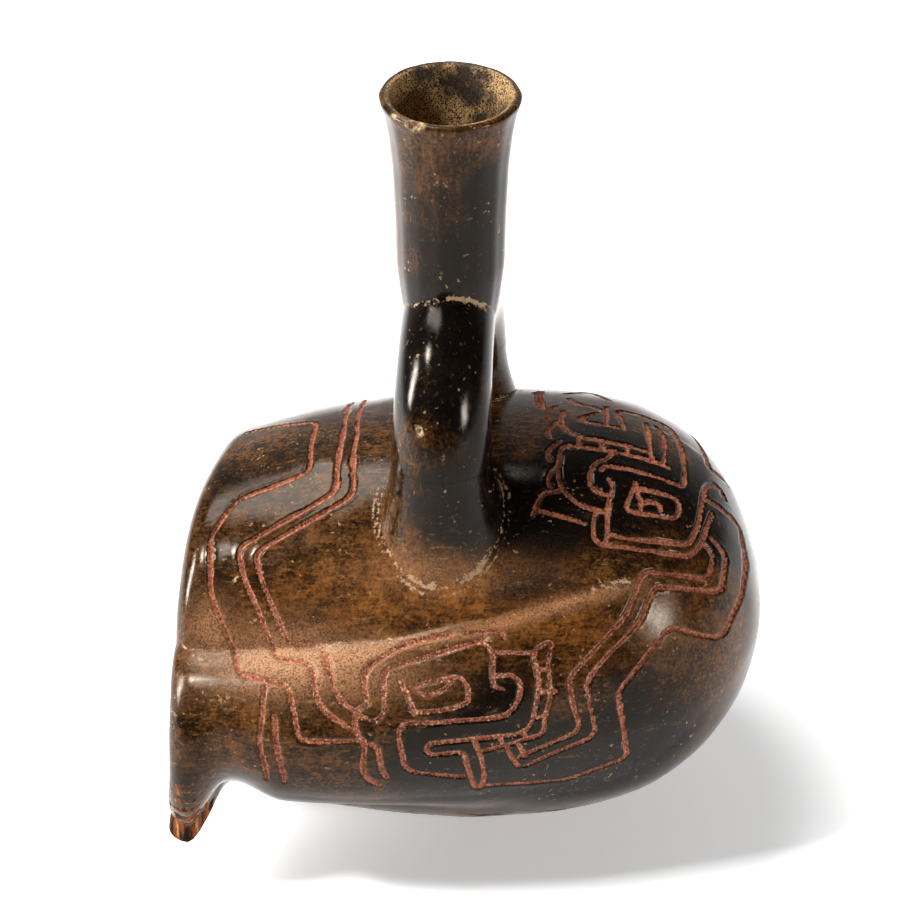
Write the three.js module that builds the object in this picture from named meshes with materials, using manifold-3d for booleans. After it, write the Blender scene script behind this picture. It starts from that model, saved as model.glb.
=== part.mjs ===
// A stirrup spout vessel of burnished dark earthenware, fired in one piece, in millimetres.
// The hollow body lies along X: a round whorl that ends in a dome on the right and in a flat oblique
// end on the left. A rolled lobe runs along the front and dies out to the right, and its left end
// flares into a thick tongue. Two tubular legs rise from the top and meet in an arch under a flaring
// spout. The origin is on the ground, on the flat underside, straight below the spout's axis.
// X runs along the body, Y from front to back and Z up.
import * as THREE from "three";
import { mergeVertices } from "three/addons/utils/BufferGeometryUtils.js";
import Module from "manifold-3d";

// Whorl: the round main form of the body
const AXIS_HEIGHT = 58; // of the whorl's axis above the ground, which leaves the underside flat
const WHORL_R = 60.5; // at its widest
const WIDEST_X = 12;
const LEFT_X = -68; // of the oblique end, on the axis
const LEFT_R = 47.5; // of the whorl at the oblique end
const RIGHT_X = 88.7; // of the dome's tip
const DOME_FULLNESS = 3.2; // exponents of the dome's outline
const DOME_TIP = 1.87;
const BELLY_FULLNESS = 0.031; // share by which the low flanks stand out of the circle
const BELLY_LIFT = 0.135; // share by which the dome's underside draws in
const BELLY_X = 0; // where that begins
const FOOT_EDGE = 1.5; // softness of the edge of the flat underside
const WALL = 5.5;

// Oblique left end
const END_SKEW = 10; // how far the front of the end stands out, and the back stands in
const END_SKEW_WIDTH = 45; // distance from the axis within which most of that happens
const END_EDGE = 6; // rounding of its edge
const TONGUE_EDGE = 3.5; // rounding of its edge on the tongue

// Lobe: the roll along the front
const LOBE_OUT = 15; // how far it stands out of the whorl on the left
const LOBE_FULL_X = -50; // left of here it stands out in full
const LOBE_GONE_X = 62; // right of here it has died out
const CREASE_ANGLE = 30.8; // of the upper crease at x = 0, in degrees above the horizontal
const CREASE_RISE = 0.215; // degrees for each millimetre
const CREASE_CURVE = 0.001;
const UNDERCUT_ANGLE = -31; // of the lower crease
const CREASE_SOFTNESS = 2;

// Tongue: the flare at the lobe's left end
const TONGUE_ANGLE = -36; // of its tip
const TONGUE_OUT = 21; // its tip beyond the lobe
const TONGUE_ABOVE = 50; // degrees over which it rises out of the lobe's end above the tip
const TONGUE_BELOW = 18; // and below it
const TONGUE_RAMP = 2.2; // exponents of the two sides: above 1 they are hollow
const TONGUE_POINT = 1.2;
const TONGUE_THICK = 4.5; // full thickness, and then a hollow flank
const TONGUE_FLANK = 9.5;
const TONGUE_LEAN = 2.5; // of its tip to the left
const HOLLOW_DEPTH = 3.8; // of the dip in the lobe beside the tongue
const HOLLOW_X = -51;
const HOLLOW_HALF_LENGTH = 11;
const HOLLOW_ANGLE = -28;
const HOLLOW_HALF_ANGLE = 36;

// Stirrup
const LEG_SPACING = 58; // from leg to leg, between their axes
const TUBE_R = 13.6;
const CROWN_SLIM = 0.08; // share by which the arch is slimmer at its crown, seen from the front
const TUBE_WALL = 5.2;
const ARCH_RISE = 69.4; // from the whorl's axis to where the legs turn into the arch
const ARCH_SPRING = AXIS_HEIGHT + ARCH_RISE;
const ARCH_TOP = ARCH_SPRING + LEG_SPACING / 2; // of the arch's centreline
const STIRRUP_TURN = 4.5; // degrees by which the stirrup is turned from the Y axis
const COLLAR_OUT = 3.4; // the legs' flare where they meet the body
const COLLAR_HEIGHT = 18;
const LEG_ROOT = 10; // how far a leg runs down below the whorl's surface at its axis

// Spout
const SPOUT_HEIGHT = 65.8; // from the arch's centreline to the rim
const RIM_HEIGHT = ARCH_TOP + SPOUT_HEIGHT;
const RIM_R = 18.5;
const THROAT_R = 14.8; // of the spout above its foot
const FOOT_R = 12.6; // where the spout sits on the arch
const RIM_WALL = 2.6;
const SPOUT_WALL = 5;
const LIP_ROUND = 0.8;
const CHIP_R = 3.2; // a chip out of the front of the rim
const CHIP_OUT = 1.1; // of its middle beyond the rim
const CHIP_ANGLE = 238; // degrees round the spout's axis from +X

// Incised motif: grooves cut before firing. Their paths are in the body's own coordinates: millimetres
// along its axis, and degrees up from the front.
const GROOVE_WIDTH = 1.8;
const GROOVE_DEPTH = 0.8;
const CUTTER_LIFT = 2.2; // of the cutting wedge's back above the surface
const BAND_WIDTH = 4; // between the two grooves of a band
const TOOTH_PITCH = 6.5;
const CURL_PITCH = 8.6; // degrees
const BACK_MIRROR = 111; // the back repeats the front's contours, mirrored at this angle

const AROUND = 32; // facets round the body
const ALONG = 19; // and along it
const CAVITY_AROUND = 18;
const CAVITY_ALONG = 10;
const TUBE_SIDES = 16;
const TUBE_STEPS = 15;
const BORE_SIDES = 8;
const SPOUT_SIDES = 20;
const GROOVE_STEP = 18; // longest straight stretch of a groove

const wasm = await Module();
wasm.setup();

const degrees = (a) => (a * Math.PI) / 180;
const smooth = (t) => {
  const c = THREE.MathUtils.clamp(t, 0, 1);
  return c * c * (3 - 2 * c);
};

// The larger of a and b, with the corner between them rounded over the width k.
function softMax(a, b, k) {
  const h = THREE.MathUtils.clamp(0.5 + (0.5 * (a - b)) / k, 0, 1);
  return b + (a - b) * h + k * h * (1 - h);
}

// A closed geometry as a manifold-3d solid.
function solid(geometry) {
  const bare = geometry.clone();
  bare.deleteAttribute("normal");
  bare.deleteAttribute("uv");
  const merged = mergeVertices(bare, 1e-4);
  return new wasm.Manifold(
    new wasm.Mesh({
      numProp: 3,
      vertProperties: merged.attributes.position.array,
      triVerts: new Uint32Array(merged.index.array),
    }),
  );
}

// The whorl's radius: a shallow parabola left of the widest place, a superellipse right of it.
function whorlRadius(x) {
  if (x < WIDEST_X) return WHORL_R - (WHORL_R - LEFT_R) * ((WIDEST_X - x) / (WIDEST_X - LEFT_X)) ** 2;
  const u = Math.min((x - WIDEST_X) / (RIGHT_X - WIDEST_X), 1);
  return WHORL_R * (1 - u ** DOME_FULLNESS) ** (1 / DOME_TIP);
}

const creaseAngle = (x) => CREASE_ANGLE + CREASE_RISE * x + CREASE_CURVE * x * x;

// The lobe's reach from the axis at an angle: the circle through both creases that stands out of the
// whorl by the lobe's height there. It is 0 where the circle isn't met.
function lobeRadius(x, angle, whorl) {
  const middle = (creaseAngle(x) + UNDERCUT_ANGLE) / 2;
  const half = degrees((creaseAngle(x) - UNDERCUT_ANGLE) / 2);
  const out = LOBE_OUT * (1 - smooth((x - LOBE_FULL_X) / (LOBE_GONE_X - LOBE_FULL_X))) + 1e-6;
  const chord = whorl * Math.sin(half);
  const rise = whorl + out - whorl * Math.cos(half);
  const r = (chord * chord + rise * rise) / (2 * rise);
  const centre = whorl + out - r;
  const d = degrees(angle - middle);
  const under = r * r - (centre * Math.sin(d)) ** 2;
  return under > 0 && Math.cos(d) > 0 ? centre * Math.cos(d) + Math.sqrt(under) : 0;
}

// 1 in the middle, 0 from -1 down and from 1 up, with no corner between.
const bump = (t) => (1 - Math.min(t * t, 1)) ** 2;

// Whorl and lobe together, with the dip beside the tongue: the distance from the axis at x, at an angle up
// from the front.
function sectionRadius(x, angle) {
  const whorl = Math.max(whorlRadius(x), 1e-3);
  const dip = bump((x - HOLLOW_X) / HOLLOW_HALF_LENGTH) * bump((angle - HOLLOW_ANGLE) / HOLLOW_HALF_ANGLE);
  const r = softMax(whorl, lobeRadius(x, angle, whorl), CREASE_SOFTNESS) - HOLLOW_DEPTH * dip;
  const down = Math.max(-Math.sin(degrees(angle)), 0);
  const full = BELLY_FULLNESS * 4 * down ** 2 * (1 - down ** 2);
  return r * (1 + full - BELLY_LIFT * smooth((x - BELLY_X) / (RIGHT_X - BELLY_X)) * down);
}

// 1 at the tongue's tip, falling to 0 over its two sides.
function tongueShape(angle) {
  const above = angle - TONGUE_ANGLE;
  if (above < 0) return Math.max(1 + above / TONGUE_BELOW, 0) ** TONGUE_POINT;
  return Math.max(1 - above / TONGUE_ABOVE, 0) ** TONGUE_RAMP;
}

// The body's outer radius: the section, the tongue, the rounded edge of the left end and the flat foot.
function outerRadius(x, angle) {
  const fromEnd = x - LEFT_X;
  const tongue = TONGUE_OUT * tongueShape(angle) * (1 - smooth((fromEnd - TONGUE_THICK) / TONGUE_FLANK));
  const edge = END_EDGE + (TONGUE_EDGE - END_EDGE) * Math.sqrt(tongueShape(angle));
  const left = edge - Math.min(fromEnd, edge);
  const r = sectionRadius(x, angle) + tongue - edge + Math.sqrt(edge * edge - left * left);
  const down = -Math.sin(degrees(angle));
  return down > 1e-3 ? -softMax(-r, -AXIS_HEIGHT / down, FOOT_EDGE) : r;
}

// The cavity follows the whorl and the lobe at the wall's thickness, and leaves the tongue solid.
function cavityRadius(x, angle) {
  const stretch = (RIGHT_X - LEFT_X) / (RIGHT_X - LEFT_X - 2 * WALL);
  const r = sectionRadius(LEFT_X + (x - LEFT_X - WALL) * stretch, angle) - WALL;
  const left = END_EDGE - Math.min(x - LEFT_X - WALL, END_EDGE);
  const rounded = Math.max(r - END_EDGE + Math.sqrt(END_EDGE * END_EDGE - left * left), 0);
  const down = -Math.sin(degrees(angle));
  return down > 1e-3 ? Math.min(rounded, (AXIS_HEIGHT - WALL) / down) : rounded;
}

// The point of a body surface at x along the axis, r from it, at an angle up from the front.
function bodyPoint(x, r, angle) {
  const y = -r * Math.cos(degrees(angle));
  const skew = END_SKEW * Math.tanh(y / END_SKEW_WIDTH) * smooth((WIDEST_X - x) / (WIDEST_X - LEFT_X));
  const out = tongueShape(angle) * smooth((r - LEFT_R) / TONGUE_OUT);
  const lean = TONGUE_LEAN * out * (1 - smooth((x - LEFT_X) / (TONGUE_THICK + TONGUE_FLANK)));
  return new THREE.Vector3(x + skew - lean, y, AXIS_HEIGHT + r * Math.sin(degrees(angle)));
}

// A closed skin round the axis from x0 to x1: rings close together at both ends, a flat disc to the left
// and a pole to the right.
function bodySkin(radius, x0, x1, along, around) {
  const points = [bodyPoint(x0, 0, 0)];
  for (let i = 0; i < along; i++) {
    const x = x0 + (x1 - x0) * (0.5 - 0.5 * Math.cos((Math.PI * i) / along));
    for (let j = 0; j < around; j++) {
      const angle = (360 * j) / around - 90;
      points.push(bodyPoint(x, radius(x, angle), angle));
    }
  }
  points.push(bodyPoint(x1, 0, 0));
  const last = points.length - 1;
  const at = (i, j) => 1 + i * around + (j % around);
  const faces = [];
  for (let j = 0; j < around; j++) {
    faces.push(0, at(0, j), at(0, j + 1));
    faces.push(at(along - 1, j), last, at(along - 1, j + 1));
    for (let i = 0; i < along - 1; i++) {
      faces.push(at(i, j), at(i + 1, j), at(i + 1, j + 1));
      faces.push(at(i, j), at(i + 1, j + 1), at(i, j + 1));
    }
  }
  return new THREE.BufferGeometry().setFromPoints(points).setIndex(faces);
}

// The stirrup's centreline: up one leg, over a half circle and down the other leg.
class StirrupLine extends THREE.Curve {
  getPoint(t) {
    const r = LEG_SPACING / 2;
    const leg = ARCH_SPRING - legRoot();
    const along = t * (2 * leg + Math.PI * r);
    if (along < leg) return new THREE.Vector3(0, -r, legRoot() + along);
    if (along > leg + Math.PI * r) return new THREE.Vector3(0, r, ARCH_SPRING - (along - leg - Math.PI * r));
    const a = (along - leg) / r;
    return new THREE.Vector3(0, -r * Math.cos(a), ARCH_SPRING + r * Math.sin(a));
  }
}

// The height at which a leg's tube ends, inside the wall.
const legRoot = () => AXIS_HEIGHT + Math.sqrt(whorlRadius(0) ** 2 - (LEG_SPACING / 2) ** 2) - LEG_ROOT;

function stirrupTube(r, sides, steps) {
  const section = new THREE.Shape(new THREE.Path().absarc(0, 0, r, 0, 2 * Math.PI).getPoints(sides).slice(1));
  const tube = new THREE.ExtrudeGeometry(section, { steps, extrudePath: new StirrupLine() });
  const at = tube.attributes.position;
  for (let i = 0; i < at.count; i++) {
    const crown = THREE.MathUtils.clamp((at.getZ(i) - ARCH_SPRING) / (LEG_SPACING / 2), 0, 1);
    at.setX(i, at.getX(i) * (1 - CROWN_SLIM * crown));
  }
  return tube.rotateZ(degrees(-STIRRUP_TURN));
}

// The height of the whorl's surface over a point of the ground.
const whorlTop = (x, y) => AXIS_HEIGHT + Math.sqrt(whorlRadius(x) ** 2 - y * y);

// The flared foot of the leg on one side of the spout: -1 is the front one, 1 the back one. Its outline
// is turned round the leg's axis, and each point then rises by the whorl's surface beneath it.
function legCollar(side) {
  const outline = [new THREE.Vector2(0, -COLLAR_OUT)];
  for (const share of [-0.3, 0, 0.3, 1]) {
    const out = COLLAR_OUT * (1 - Math.max(share, 0)) ** 2;
    outline.push(new THREE.Vector2(TUBE_R + out, share * COLLAR_HEIGHT));
  }
  outline.push(new THREE.Vector2(0, COLLAR_HEIGHT));
  const collar = new THREE.LatheGeometry(outline, TUBE_SIDES)
    .rotateX(Math.PI / 2)
    .translate(0, (side * LEG_SPACING) / 2, 0)
    .rotateZ(degrees(-STIRRUP_TURN));
  const at = collar.attributes.position;
  for (let i = 0; i < at.count; i++) at.setZ(i, at.getZ(i) + whorlTop(at.getX(i), at.getY(i)));
  return collar;
}

// The spout's outline up from its foot, which is rounded over the arch: a slow taper and a quick flare.
function spoutOutline() {
  const height = RIM_HEIGHT - ARCH_TOP;
  const flare = RIM_R - THROAT_R;
  return [
    [-0.08, 0.88 * FOOT_R],
    [0, FOOT_R],
    [0.1, FOOT_R + 0.45 * (THROAT_R - FOOT_R)],
    [0.24, FOOT_R + 0.91 * (THROAT_R - FOOT_R)],
    [0.45, THROAT_R],
    [0.7, THROAT_R + 0.17 * flare],
    [0.85, THROAT_R + 0.43 * flare],
    [0.94, THROAT_R + 0.7 * flare],
    [1, RIM_R],
  ].map(([share, r]) => new THREE.Vector2(r, ARCH_TOP + share * height));
}

function spoutSolid() {
  const outline = spoutOutline();
  const rim = outline.at(-1);
  outline[outline.length - 1] = new THREE.Vector2(rim.x, rim.y - LIP_ROUND);
  outline.push(new THREE.Vector2(rim.x - LIP_ROUND, rim.y));
  const closed = [new THREE.Vector2(0, outline[0].y), ...outline, new THREE.Vector2(0, RIM_HEIGHT)];
  return new THREE.LatheGeometry(closed, SPOUT_SIDES).rotateX(Math.PI / 2);
}

// The bore of the spout: inside its outline by a wall that thins towards the rim.
function spoutBore() {
  const inner = spoutOutline().slice(2).map((p) => {
    const share = (p.y - ARCH_TOP) / (RIM_HEIGHT - ARCH_TOP);
    return new THREE.Vector2(p.x - SPOUT_WALL - (RIM_WALL - SPOUT_WALL) * smooth((share - 0.4) / 0.6), p.y);
  });
  const foot = ARCH_TOP;
  const above = RIM_HEIGHT + RIM_WALL;
  const closed = [
    new THREE.Vector2(0, foot),
    new THREE.Vector2(inner[0].x, foot),
    ...inner,
    new THREE.Vector2(inner.at(-1).x, above),
    new THREE.Vector2(0, above),
  ];
  return new THREE.LatheGeometry(closed, SPOUT_SIDES).rotateX(Math.PI / 2);
}

function rimChip() {
  const r = RIM_R + CHIP_OUT;
  const a = degrees(CHIP_ANGLE);
  const chip = new THREE.IcosahedronGeometry(CHIP_R, 1);
  return chip.translate(r * Math.cos(a), r * Math.sin(a), RIM_HEIGHT);
}

// The two lines at half a width to either side of a path.
function band(path, width = BAND_WIDTH) {
  const perDegree = degrees(WHORL_R);
  const flat = path.map(([x, angle]) => new THREE.Vector2(x, angle * perDegree));
  const side = (a, b) => new THREE.Vector2(a.y - b.y, b.x - a.x).normalize();
  return [-0.5, 0.5].map((share) =>
    flat.map((point, i) => {
      const before = side(flat[Math.max(i - 1, 0)], flat[Math.max(i, 1)]);
      const after = side(flat[Math.min(i, flat.length - 2)], flat[Math.min(i + 1, flat.length - 1)]);
      const mitre = before.clone().add(after).normalize();
      mitre.multiplyScalar((share * width) / Math.max(mitre.dot(before), 0.4)).add(point);
      return [mitre.x, mitre.y / perDegree];
    }),
  );
}

// Cross strokes between two rows, from x0 to x1 at the teeth's pitch.
function teeth(x0, x1, lower, upper) {
  const count = Math.round((x1 - x0) / TOOTH_PITCH);
  return Array.from({ length: count + 1 }, (_, i) => {
    const x = x0 + ((x1 - x0) * i) / count;
    return [[x, lower], [x, upper]];
  });
}

// A column of hooks that bulge to the left, down from an angle at the curls' pitch.
function curls(x, top, count) {
  const hook = [[0, 0], [-2.3, -2.6], [-3.2, -5.3], [-2.5, -7.3]];
  return Array.from({ length: count }, (_, i) => hook.map(([dx, da]) => [x + dx, top + da - i * CURL_PITCH]));
}

// The left side's contours: an outer line and a band inside it, from the top down on to the lobe.
function leftContours() {
  return [
    [[-60, 107], [-39, 101], [-36.5, 76], [-55, 69], [-60, 57], [-58, 38], [-49.5, 17], [-37, 16]]
      .concat([[-35, 4], [-20, 4.6]]),
    ...band([[-29, 111], [-26.8, 67], [-50, 52], [-48, 45], [-39.5, 22.8], [-31, 22.6], [-28.5, 13], [-20.5, 8]]),
  ];
}

// The right side's contours: a band that ends in a hook above, and an outer line round it.
function rightContours() {
  return [
    ...band([[70.3, 58], [74, 54], [72.5, 42], [53.5, 43], [49.3, 32], [33.9, 17], [37.3, 1], [19.6, -5.5]]),
    [[71, 75], [80.7, 76.8], [82.3, 58], [80.9, 39], [75.3, 22], [60.1, 29.5], [45.5, 12.6], [48.7, -12]]
      .concat([[32, -16.4], [10, -12.5]]),
  ];
}

// The head on the lobe: brow, snout, eye, a toothed gum with a fang, and the lines behind it.
function lowerHead() {
  return [
    [[-19.1, 13.3], [-20, 16.8], [-19.5, 21.1], [-10.2, 26], [1, 28.6]],
    [[-17.8, 8.9], [-15.5, 9.7], [-15.5, 20.5], [8.7, 27.1], [11.2, 24.5], [11.4, 16.1], [14.4, 15.7]],
    [[12.2, 24.5], [22.1, 24.2]],
    [[12.2, 18.9], [18.1, 19.1], [19.4, 14.5], [16.7, 9.5], [10.7, 8.6], [-10.9, 8.4], [-12, 6.2]]
      .concat([[-10.5, -3.4], [-7.9, -4.8], [4, -7.8]]),
    [[4.7, -2.7], [3.8, 0.5], [-5, 0.2], [-5.6, 3.1], [-2.5, 3.7], [19.3, 3.7], [22.3, 6], [23.9, 18.5]]
      .concat([[22.1, 24.9], [27.6, 27.5], [26.4, 22], [27.2, 13.1], [25.5, 7.2], [25.8, 2.8], [8.8, -0.1]]),
    ...[[19.8, 26.6], [14.2, 28.4], [7.8, 25.7]].map(([angle, reach]) => [[23.6, angle], [reach, angle]]),
    [[6.8, 3.1], [8.6, -3.3], [9.6, -10.4], [7.7, -14.3], [5.9, -8.1], [4.5, -2.7]],
    [[-8.5, 16.4], [-7.8, 17.2], [1.6, 19.3], [4.7, 18.2], [5.4, 13.5], [4, 12.2], [-1.1, 11.3], [-8.3, 11.1]],
    [[-8.9, 16.8], [-7, 15.2], [-4.3, 15], [-0.7, 16.2], [1.2, 18.6]],
    [[-11.6, 18.4], [-8, 10.7]],
    [[-18.7, 12.7], [-21.7, 11.6], [-22, 7.1], [-19.6, 3.6], [-20.3, -1.3], [-19.7, -5.3], [-16.7, -8.8]],
    [[-20.2, 3.4], [-17, 3.6], [-16.4, -0.8], [-14.9, -6.1]],
    [[-43, 15.5], [-44, 3], [-42.7, -7.4]],
    [[-40.6, 9.2], [-38.4, -7.3]],
  ];
}

// The head on the dome: jaw, eye, snout, toothed gum, brow and a mane of curls.
function upperHead() {
  return [
    [[43.3, 71.1], [44.5, 69], [43.2, 63.8], [42.1, 53]],
    [[42.4, 55], [47.3, 54], [65.2, 54.3], [68, 61.6], [70.9, 81], [73.6, 86], [76, 88.2], [76.8, 83.7]],
    [[39.5, 60.9], [38.5, 57.4], [38.5, 52], [62.6, 50.5], [66.1, 51.3], [69.2, 57.4], [72.2, 70]],
    [[50.3, 69.7], [61.3, 69.8], [62.6, 68], [62, 63.5], [60.4, 61.9], [48.4, 62], [47.4, 63.4], [50.8, 71]],
    [[51, 68.3], [51.8, 65], [51.7, 62.6]],
    [[51.3, 64.8], [55.5, 66.4], [57.2, 65.7], [57.2, 63.9]],
    [[41.4, 74.2], [41.8, 76], [64.3, 74.7], [65.3, 82], [64.3, 93.9], [62.1, 105], [46.6, 103], [48.5, 92.3]],
    [[54.8, 99.5], [55.5, 82.3], [56.4, 80.9], [58.9, 81], [59.4, 96], [57.7, 100]],
    [[31.7, 98], [31, 93.7], [31.4, 88.4], [35.9, 85.6], [54.4, 84.2]],
    [[60.1, 80.4], [48, 81.2], [30.6, 82.4], [29.3, 72], [29.7, 67.7], [34.7, 62.3], [42.6, 60.8]],
    ...teeth(35.2, 48.5, 81.8, 85),
    [[44.7, 81.7], [43.1, 78.4], [39.6, 77.1], [37.4, 71], [38.8, 66.8], [43.3, 65.9]],
    [[40.8, 98.7], [35.6, 94.9], [37.4, 92.9], [46.4, 92.2]],
    ...curls(29.8, 100.8, 4),
    [[29.4, 66.6], [26.1, 66.2], [24.5, 64.2], [22.3, 59.2]],
    [[24.2, 60.7], [30.2, 59.3], [36.4, 57.3]],
  ];
}

// The plainer back: the left band and the right outer line again, mirrored.
function backContours() {
  const mirrored = (line) => line.map(([x, angle]) => [x, 2 * BACK_MIRROR - angle]);
  return [...leftContours().slice(1), rightContours().at(-1)].map(mirrored);
}

// A path with no stretch longer than the groove's step.
function stepped(path) {
  const points = [path[0]];
  for (let i = 1; i < path.length; i++) {
    const [x0, a0] = path[i - 1];
    const [x1, a1] = path[i];
    const count = Math.ceil(Math.hypot(x1 - x0, degrees(a1 - a0) * WHORL_R) / GROOVE_STEP);
    for (let k = 1; k <= count; k++) points.push([x0 + ((x1 - x0) * k) / count, a0 + ((a1 - a0) * k) / count]);
  }
  return points;
}

// A point of the body's outside with its outward normal.
function surfaceAt([x, angle]) {
  const at = (dx, da) => bodyPoint(x + dx, outerRadius(x + dx, angle + da), angle + da);
  const step = 0.5;
  const along = at(step, 0).sub(at(-step, 0));
  const around = at(0, step).sub(at(0, -step));
  return { point: at(0, 0), normal: along.cross(around).normalize() };
}

// The blade that cuts one groove: a wedge below the surface, and upright above it.
function grooveCutter(path) {
  const half = GROOVE_WIDTH / 2;
  const section = [[-half, CUTTER_LIFT], [half, CUTTER_LIFT], [half, 0], [0, -GROOVE_DEPTH], [-half, 0]];
  const sides = section.length;
  const stations = stepped(path).map(surfaceAt);
  const corners = stations.flatMap(({ point, normal }, i) => {
    const before = stations[Math.max(i - 1, 0)].point;
    const after = stations[Math.min(i + 1, stations.length - 1)].point;
    const across = after.clone().sub(before).cross(normal).normalize();
    return section.map(([side, up]) =>
      point.clone().addScaledVector(across, side).addScaledVector(normal, up),
    );
  });
  const faces = [];
  const last = corners.length - sides;
  for (let i = 0; i < last; i += sides) {
    for (let k = 0; k < sides; k++) {
      const a = i + k;
      const b = i + ((k + 1) % sides);
      faces.push(a, b, b + sides, a, b + sides, a + sides);
    }
  }
  for (let k = 1; k < sides - 1; k++) {
    faces.push(0, k + 1, k);
    faces.push(last, last + k, last + k + 1);
  }
  return new THREE.BufferGeometry().setFromPoints(corners).setIndex(faces);
}

function vesselSolid() {
  const outside = solid(bodySkin(outerRadius, LEFT_X, RIGHT_X, ALONG, AROUND))
    .add(solid(stirrupTube(TUBE_R, TUBE_SIDES, TUBE_STEPS)))
    .add(solid(legCollar(-1)))
    .add(solid(legCollar(1)))
    .add(solid(spoutSolid()));
  const cavity = solid(
    bodySkin(cavityRadius, LEFT_X + WALL, RIGHT_X - WALL, CAVITY_ALONG, CAVITY_AROUND),
  );
  const hollow = outside
    .subtract(cavity)
    .subtract(solid(stirrupTube(TUBE_R - TUBE_WALL, BORE_SIDES, TUBE_STEPS)))
    .subtract(solid(spoutBore()))
    .subtract(solid(rimChip()));
  const motif = [...leftContours(), ...rightContours(), ...lowerHead(), ...upperHead(), ...backContours()];
  return motif.reduce((made, path) => made.subtract(solid(grooveCutter(path))), hollow);
}

// A manifold-3d solid as a three.js geometry with flat facets.
function geometryOf(made) {
  const mesh = made.getMesh();
  const geometry = new THREE.BufferGeometry();
  geometry.setAttribute("position", new THREE.BufferAttribute(new Float32Array(mesh.vertProperties), 3));
  geometry.setIndex(new THREE.BufferAttribute(new Uint32Array(mesh.triVerts), 1));
  const flat = geometry.toNonIndexed();
  flat.computeVertexNormals();
  return flat;
}

function vessel() {
  const material = new THREE.MeshStandardMaterial({ color: 0x3a2a1e, roughness: 0.38, metalness: 0 });
  const mesh = new THREE.Mesh(geometryOf(vesselSolid()), material);
  mesh.name = "vessel";
  return mesh;
}

const group = new THREE.Group();
group.add(vessel());

export default group;
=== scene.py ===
"""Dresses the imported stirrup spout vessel: one skin of burnished earthenware with its incised motif.

Lengths are in millimetres until a mesh is made, which is in metres. The body lies along X, and a place
on it is x along its axis and an angle in degrees up from the front, from -90 to 270.
"""

import math

import bpy
import numpy as np
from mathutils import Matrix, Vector


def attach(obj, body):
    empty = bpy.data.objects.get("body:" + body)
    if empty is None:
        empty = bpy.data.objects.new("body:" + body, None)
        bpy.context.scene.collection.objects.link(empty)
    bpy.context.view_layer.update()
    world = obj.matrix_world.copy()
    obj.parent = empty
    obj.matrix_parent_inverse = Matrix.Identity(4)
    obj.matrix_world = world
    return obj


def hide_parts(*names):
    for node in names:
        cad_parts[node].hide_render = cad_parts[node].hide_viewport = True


MM = 0.001
NODE = "vessel"

# Whorl, the round main form of the body
AXIS_HEIGHT = 58.0
WHORL_R = 60.5
WIDEST_X = 12.0
LEFT_X = -68.0
LEFT_R = 47.5
RIGHT_X = 88.7
DOME_FULLNESS = 3.2
DOME_TIP = 1.87
BELLY_FULLNESS = 0.031
BELLY_LIFT = 0.135
BELLY_X = 0.0
FOOT_EDGE = 1.5
WALL = 5.5

# Oblique left end
END_SKEW = 10.0
END_SKEW_WIDTH = 45.0
END_EDGE = 6.0
TONGUE_EDGE = 3.5
END_DISH = 1.6

# Lobe along the front
LOBE_OUT = 15.0
LOBE_FULL_X = -50.0
LOBE_GONE_X = 62.0
CREASE_ANGLE = 30.8
CREASE_RISE = 0.215
CREASE_CURVE = 0.001
UNDERCUT_ANGLE = -31.0
CREASE_SOFTNESS = 1.6
CREASE_DEPTH = 0.7

# Tongue at the lobe's left end
TONGUE_ANGLE = -36.0
TONGUE_OUT = 21.0
TONGUE_ABOVE = 50.0
TONGUE_BELOW = 18.0
TONGUE_RAMP = 2.2
TONGUE_POINT = 1.2
TONGUE_THICK = 4.5
TONGUE_FLANK = 9.5
TONGUE_LEAN = 2.5
HOLLOW_DEPTH = 3.8
HOLLOW_X = -51.0
HOLLOW_HALF_LENGTH = 11.0
HOLLOW_ANGLE = -28.0
HOLLOW_HALF_ANGLE = 36.0

# Stirrup
LEG_SPACING = 58.0
TUBE_R = 13.6
CROWN_SLIM = 0.08
TUBE_WALL = 5.2
ARCH_SPRING = AXIS_HEIGHT + 69.4
STIRRUP_TURN = 4.5
COLLAR_OUT = 3.4
COLLAR_HEIGHT = 18.0
LEG_ROOT = 4.0

# Spout
ARCH_TOP = ARCH_SPRING + LEG_SPACING / 2
SPOUT_HEIGHT = 65.8
RIM_HEIGHT = ARCH_TOP + SPOUT_HEIGHT
RIM_R = 18.5
THROAT_R = 14.8
FOOT_R = 12.6
RIM_WALL = 2.6
SPOUT_WALL = 5.0
LIP_ROUND = 1.1

# Chips of the rim and pits of the skin, as a centre and three radii
NICKS = [
    ((-9.7, -16.2, 222.6), (3.0, 2.2, 2.2)),
    ((-14.9, -11.9, 222.9), (1.7, 1.5, 1.4)),
    ((5.5, -18.3, 223.0), (2.0, 1.0, 1.1)),
    ((-8.2, -38.4, 143.1), (1.0, 1.0, 1.2)),
    ((-23.9, -73.2, 56.6), (1.5, 0.9, 1.2)),
]

# Incised motif
GROOVE_WIDTH = 1.6
GROOVE_DEPTH = 0.75
BAND_WIDTH = 4.0
TOOTH_PITCH = 6.5
CURL_PITCH = 8.6
BACK_MIRROR = 111.0
HAND_WANDER = 0.25
CORNER_CUT = 1.5

# Mesh fineness: the length of an edge, how far the fine mesh reaches, and how much longer an edge may
# be for each millimetre beyond. Inside TIP_R the dome's tip stays coarse.
SKIN_STEP = 2.2
GROOVE_STEP = 0.7
GROOVE_REACH = 1.5
GROOVE_SPREAD = 0.85
CREASE_STEP = 1.1
CREASE_SPREAD = 0.6
RING_REACH = 1.0
RING_SPREAD = 0.8
EDGE_SLACK = 1.25
TIP_R = 8.0

# The pale rings on the body round each leg: how far beyond the collar, half width and strength
RINGS = ((0.1, 0.45, 1.0), (1.4, 0.4, 0.85))
RING_MIDDLE = 0.75

TURN = 360.0
MM_PER_STEP = np.array([1, math.radians(WHORL_R)])  # of x, and of an angle on the whorl


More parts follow.
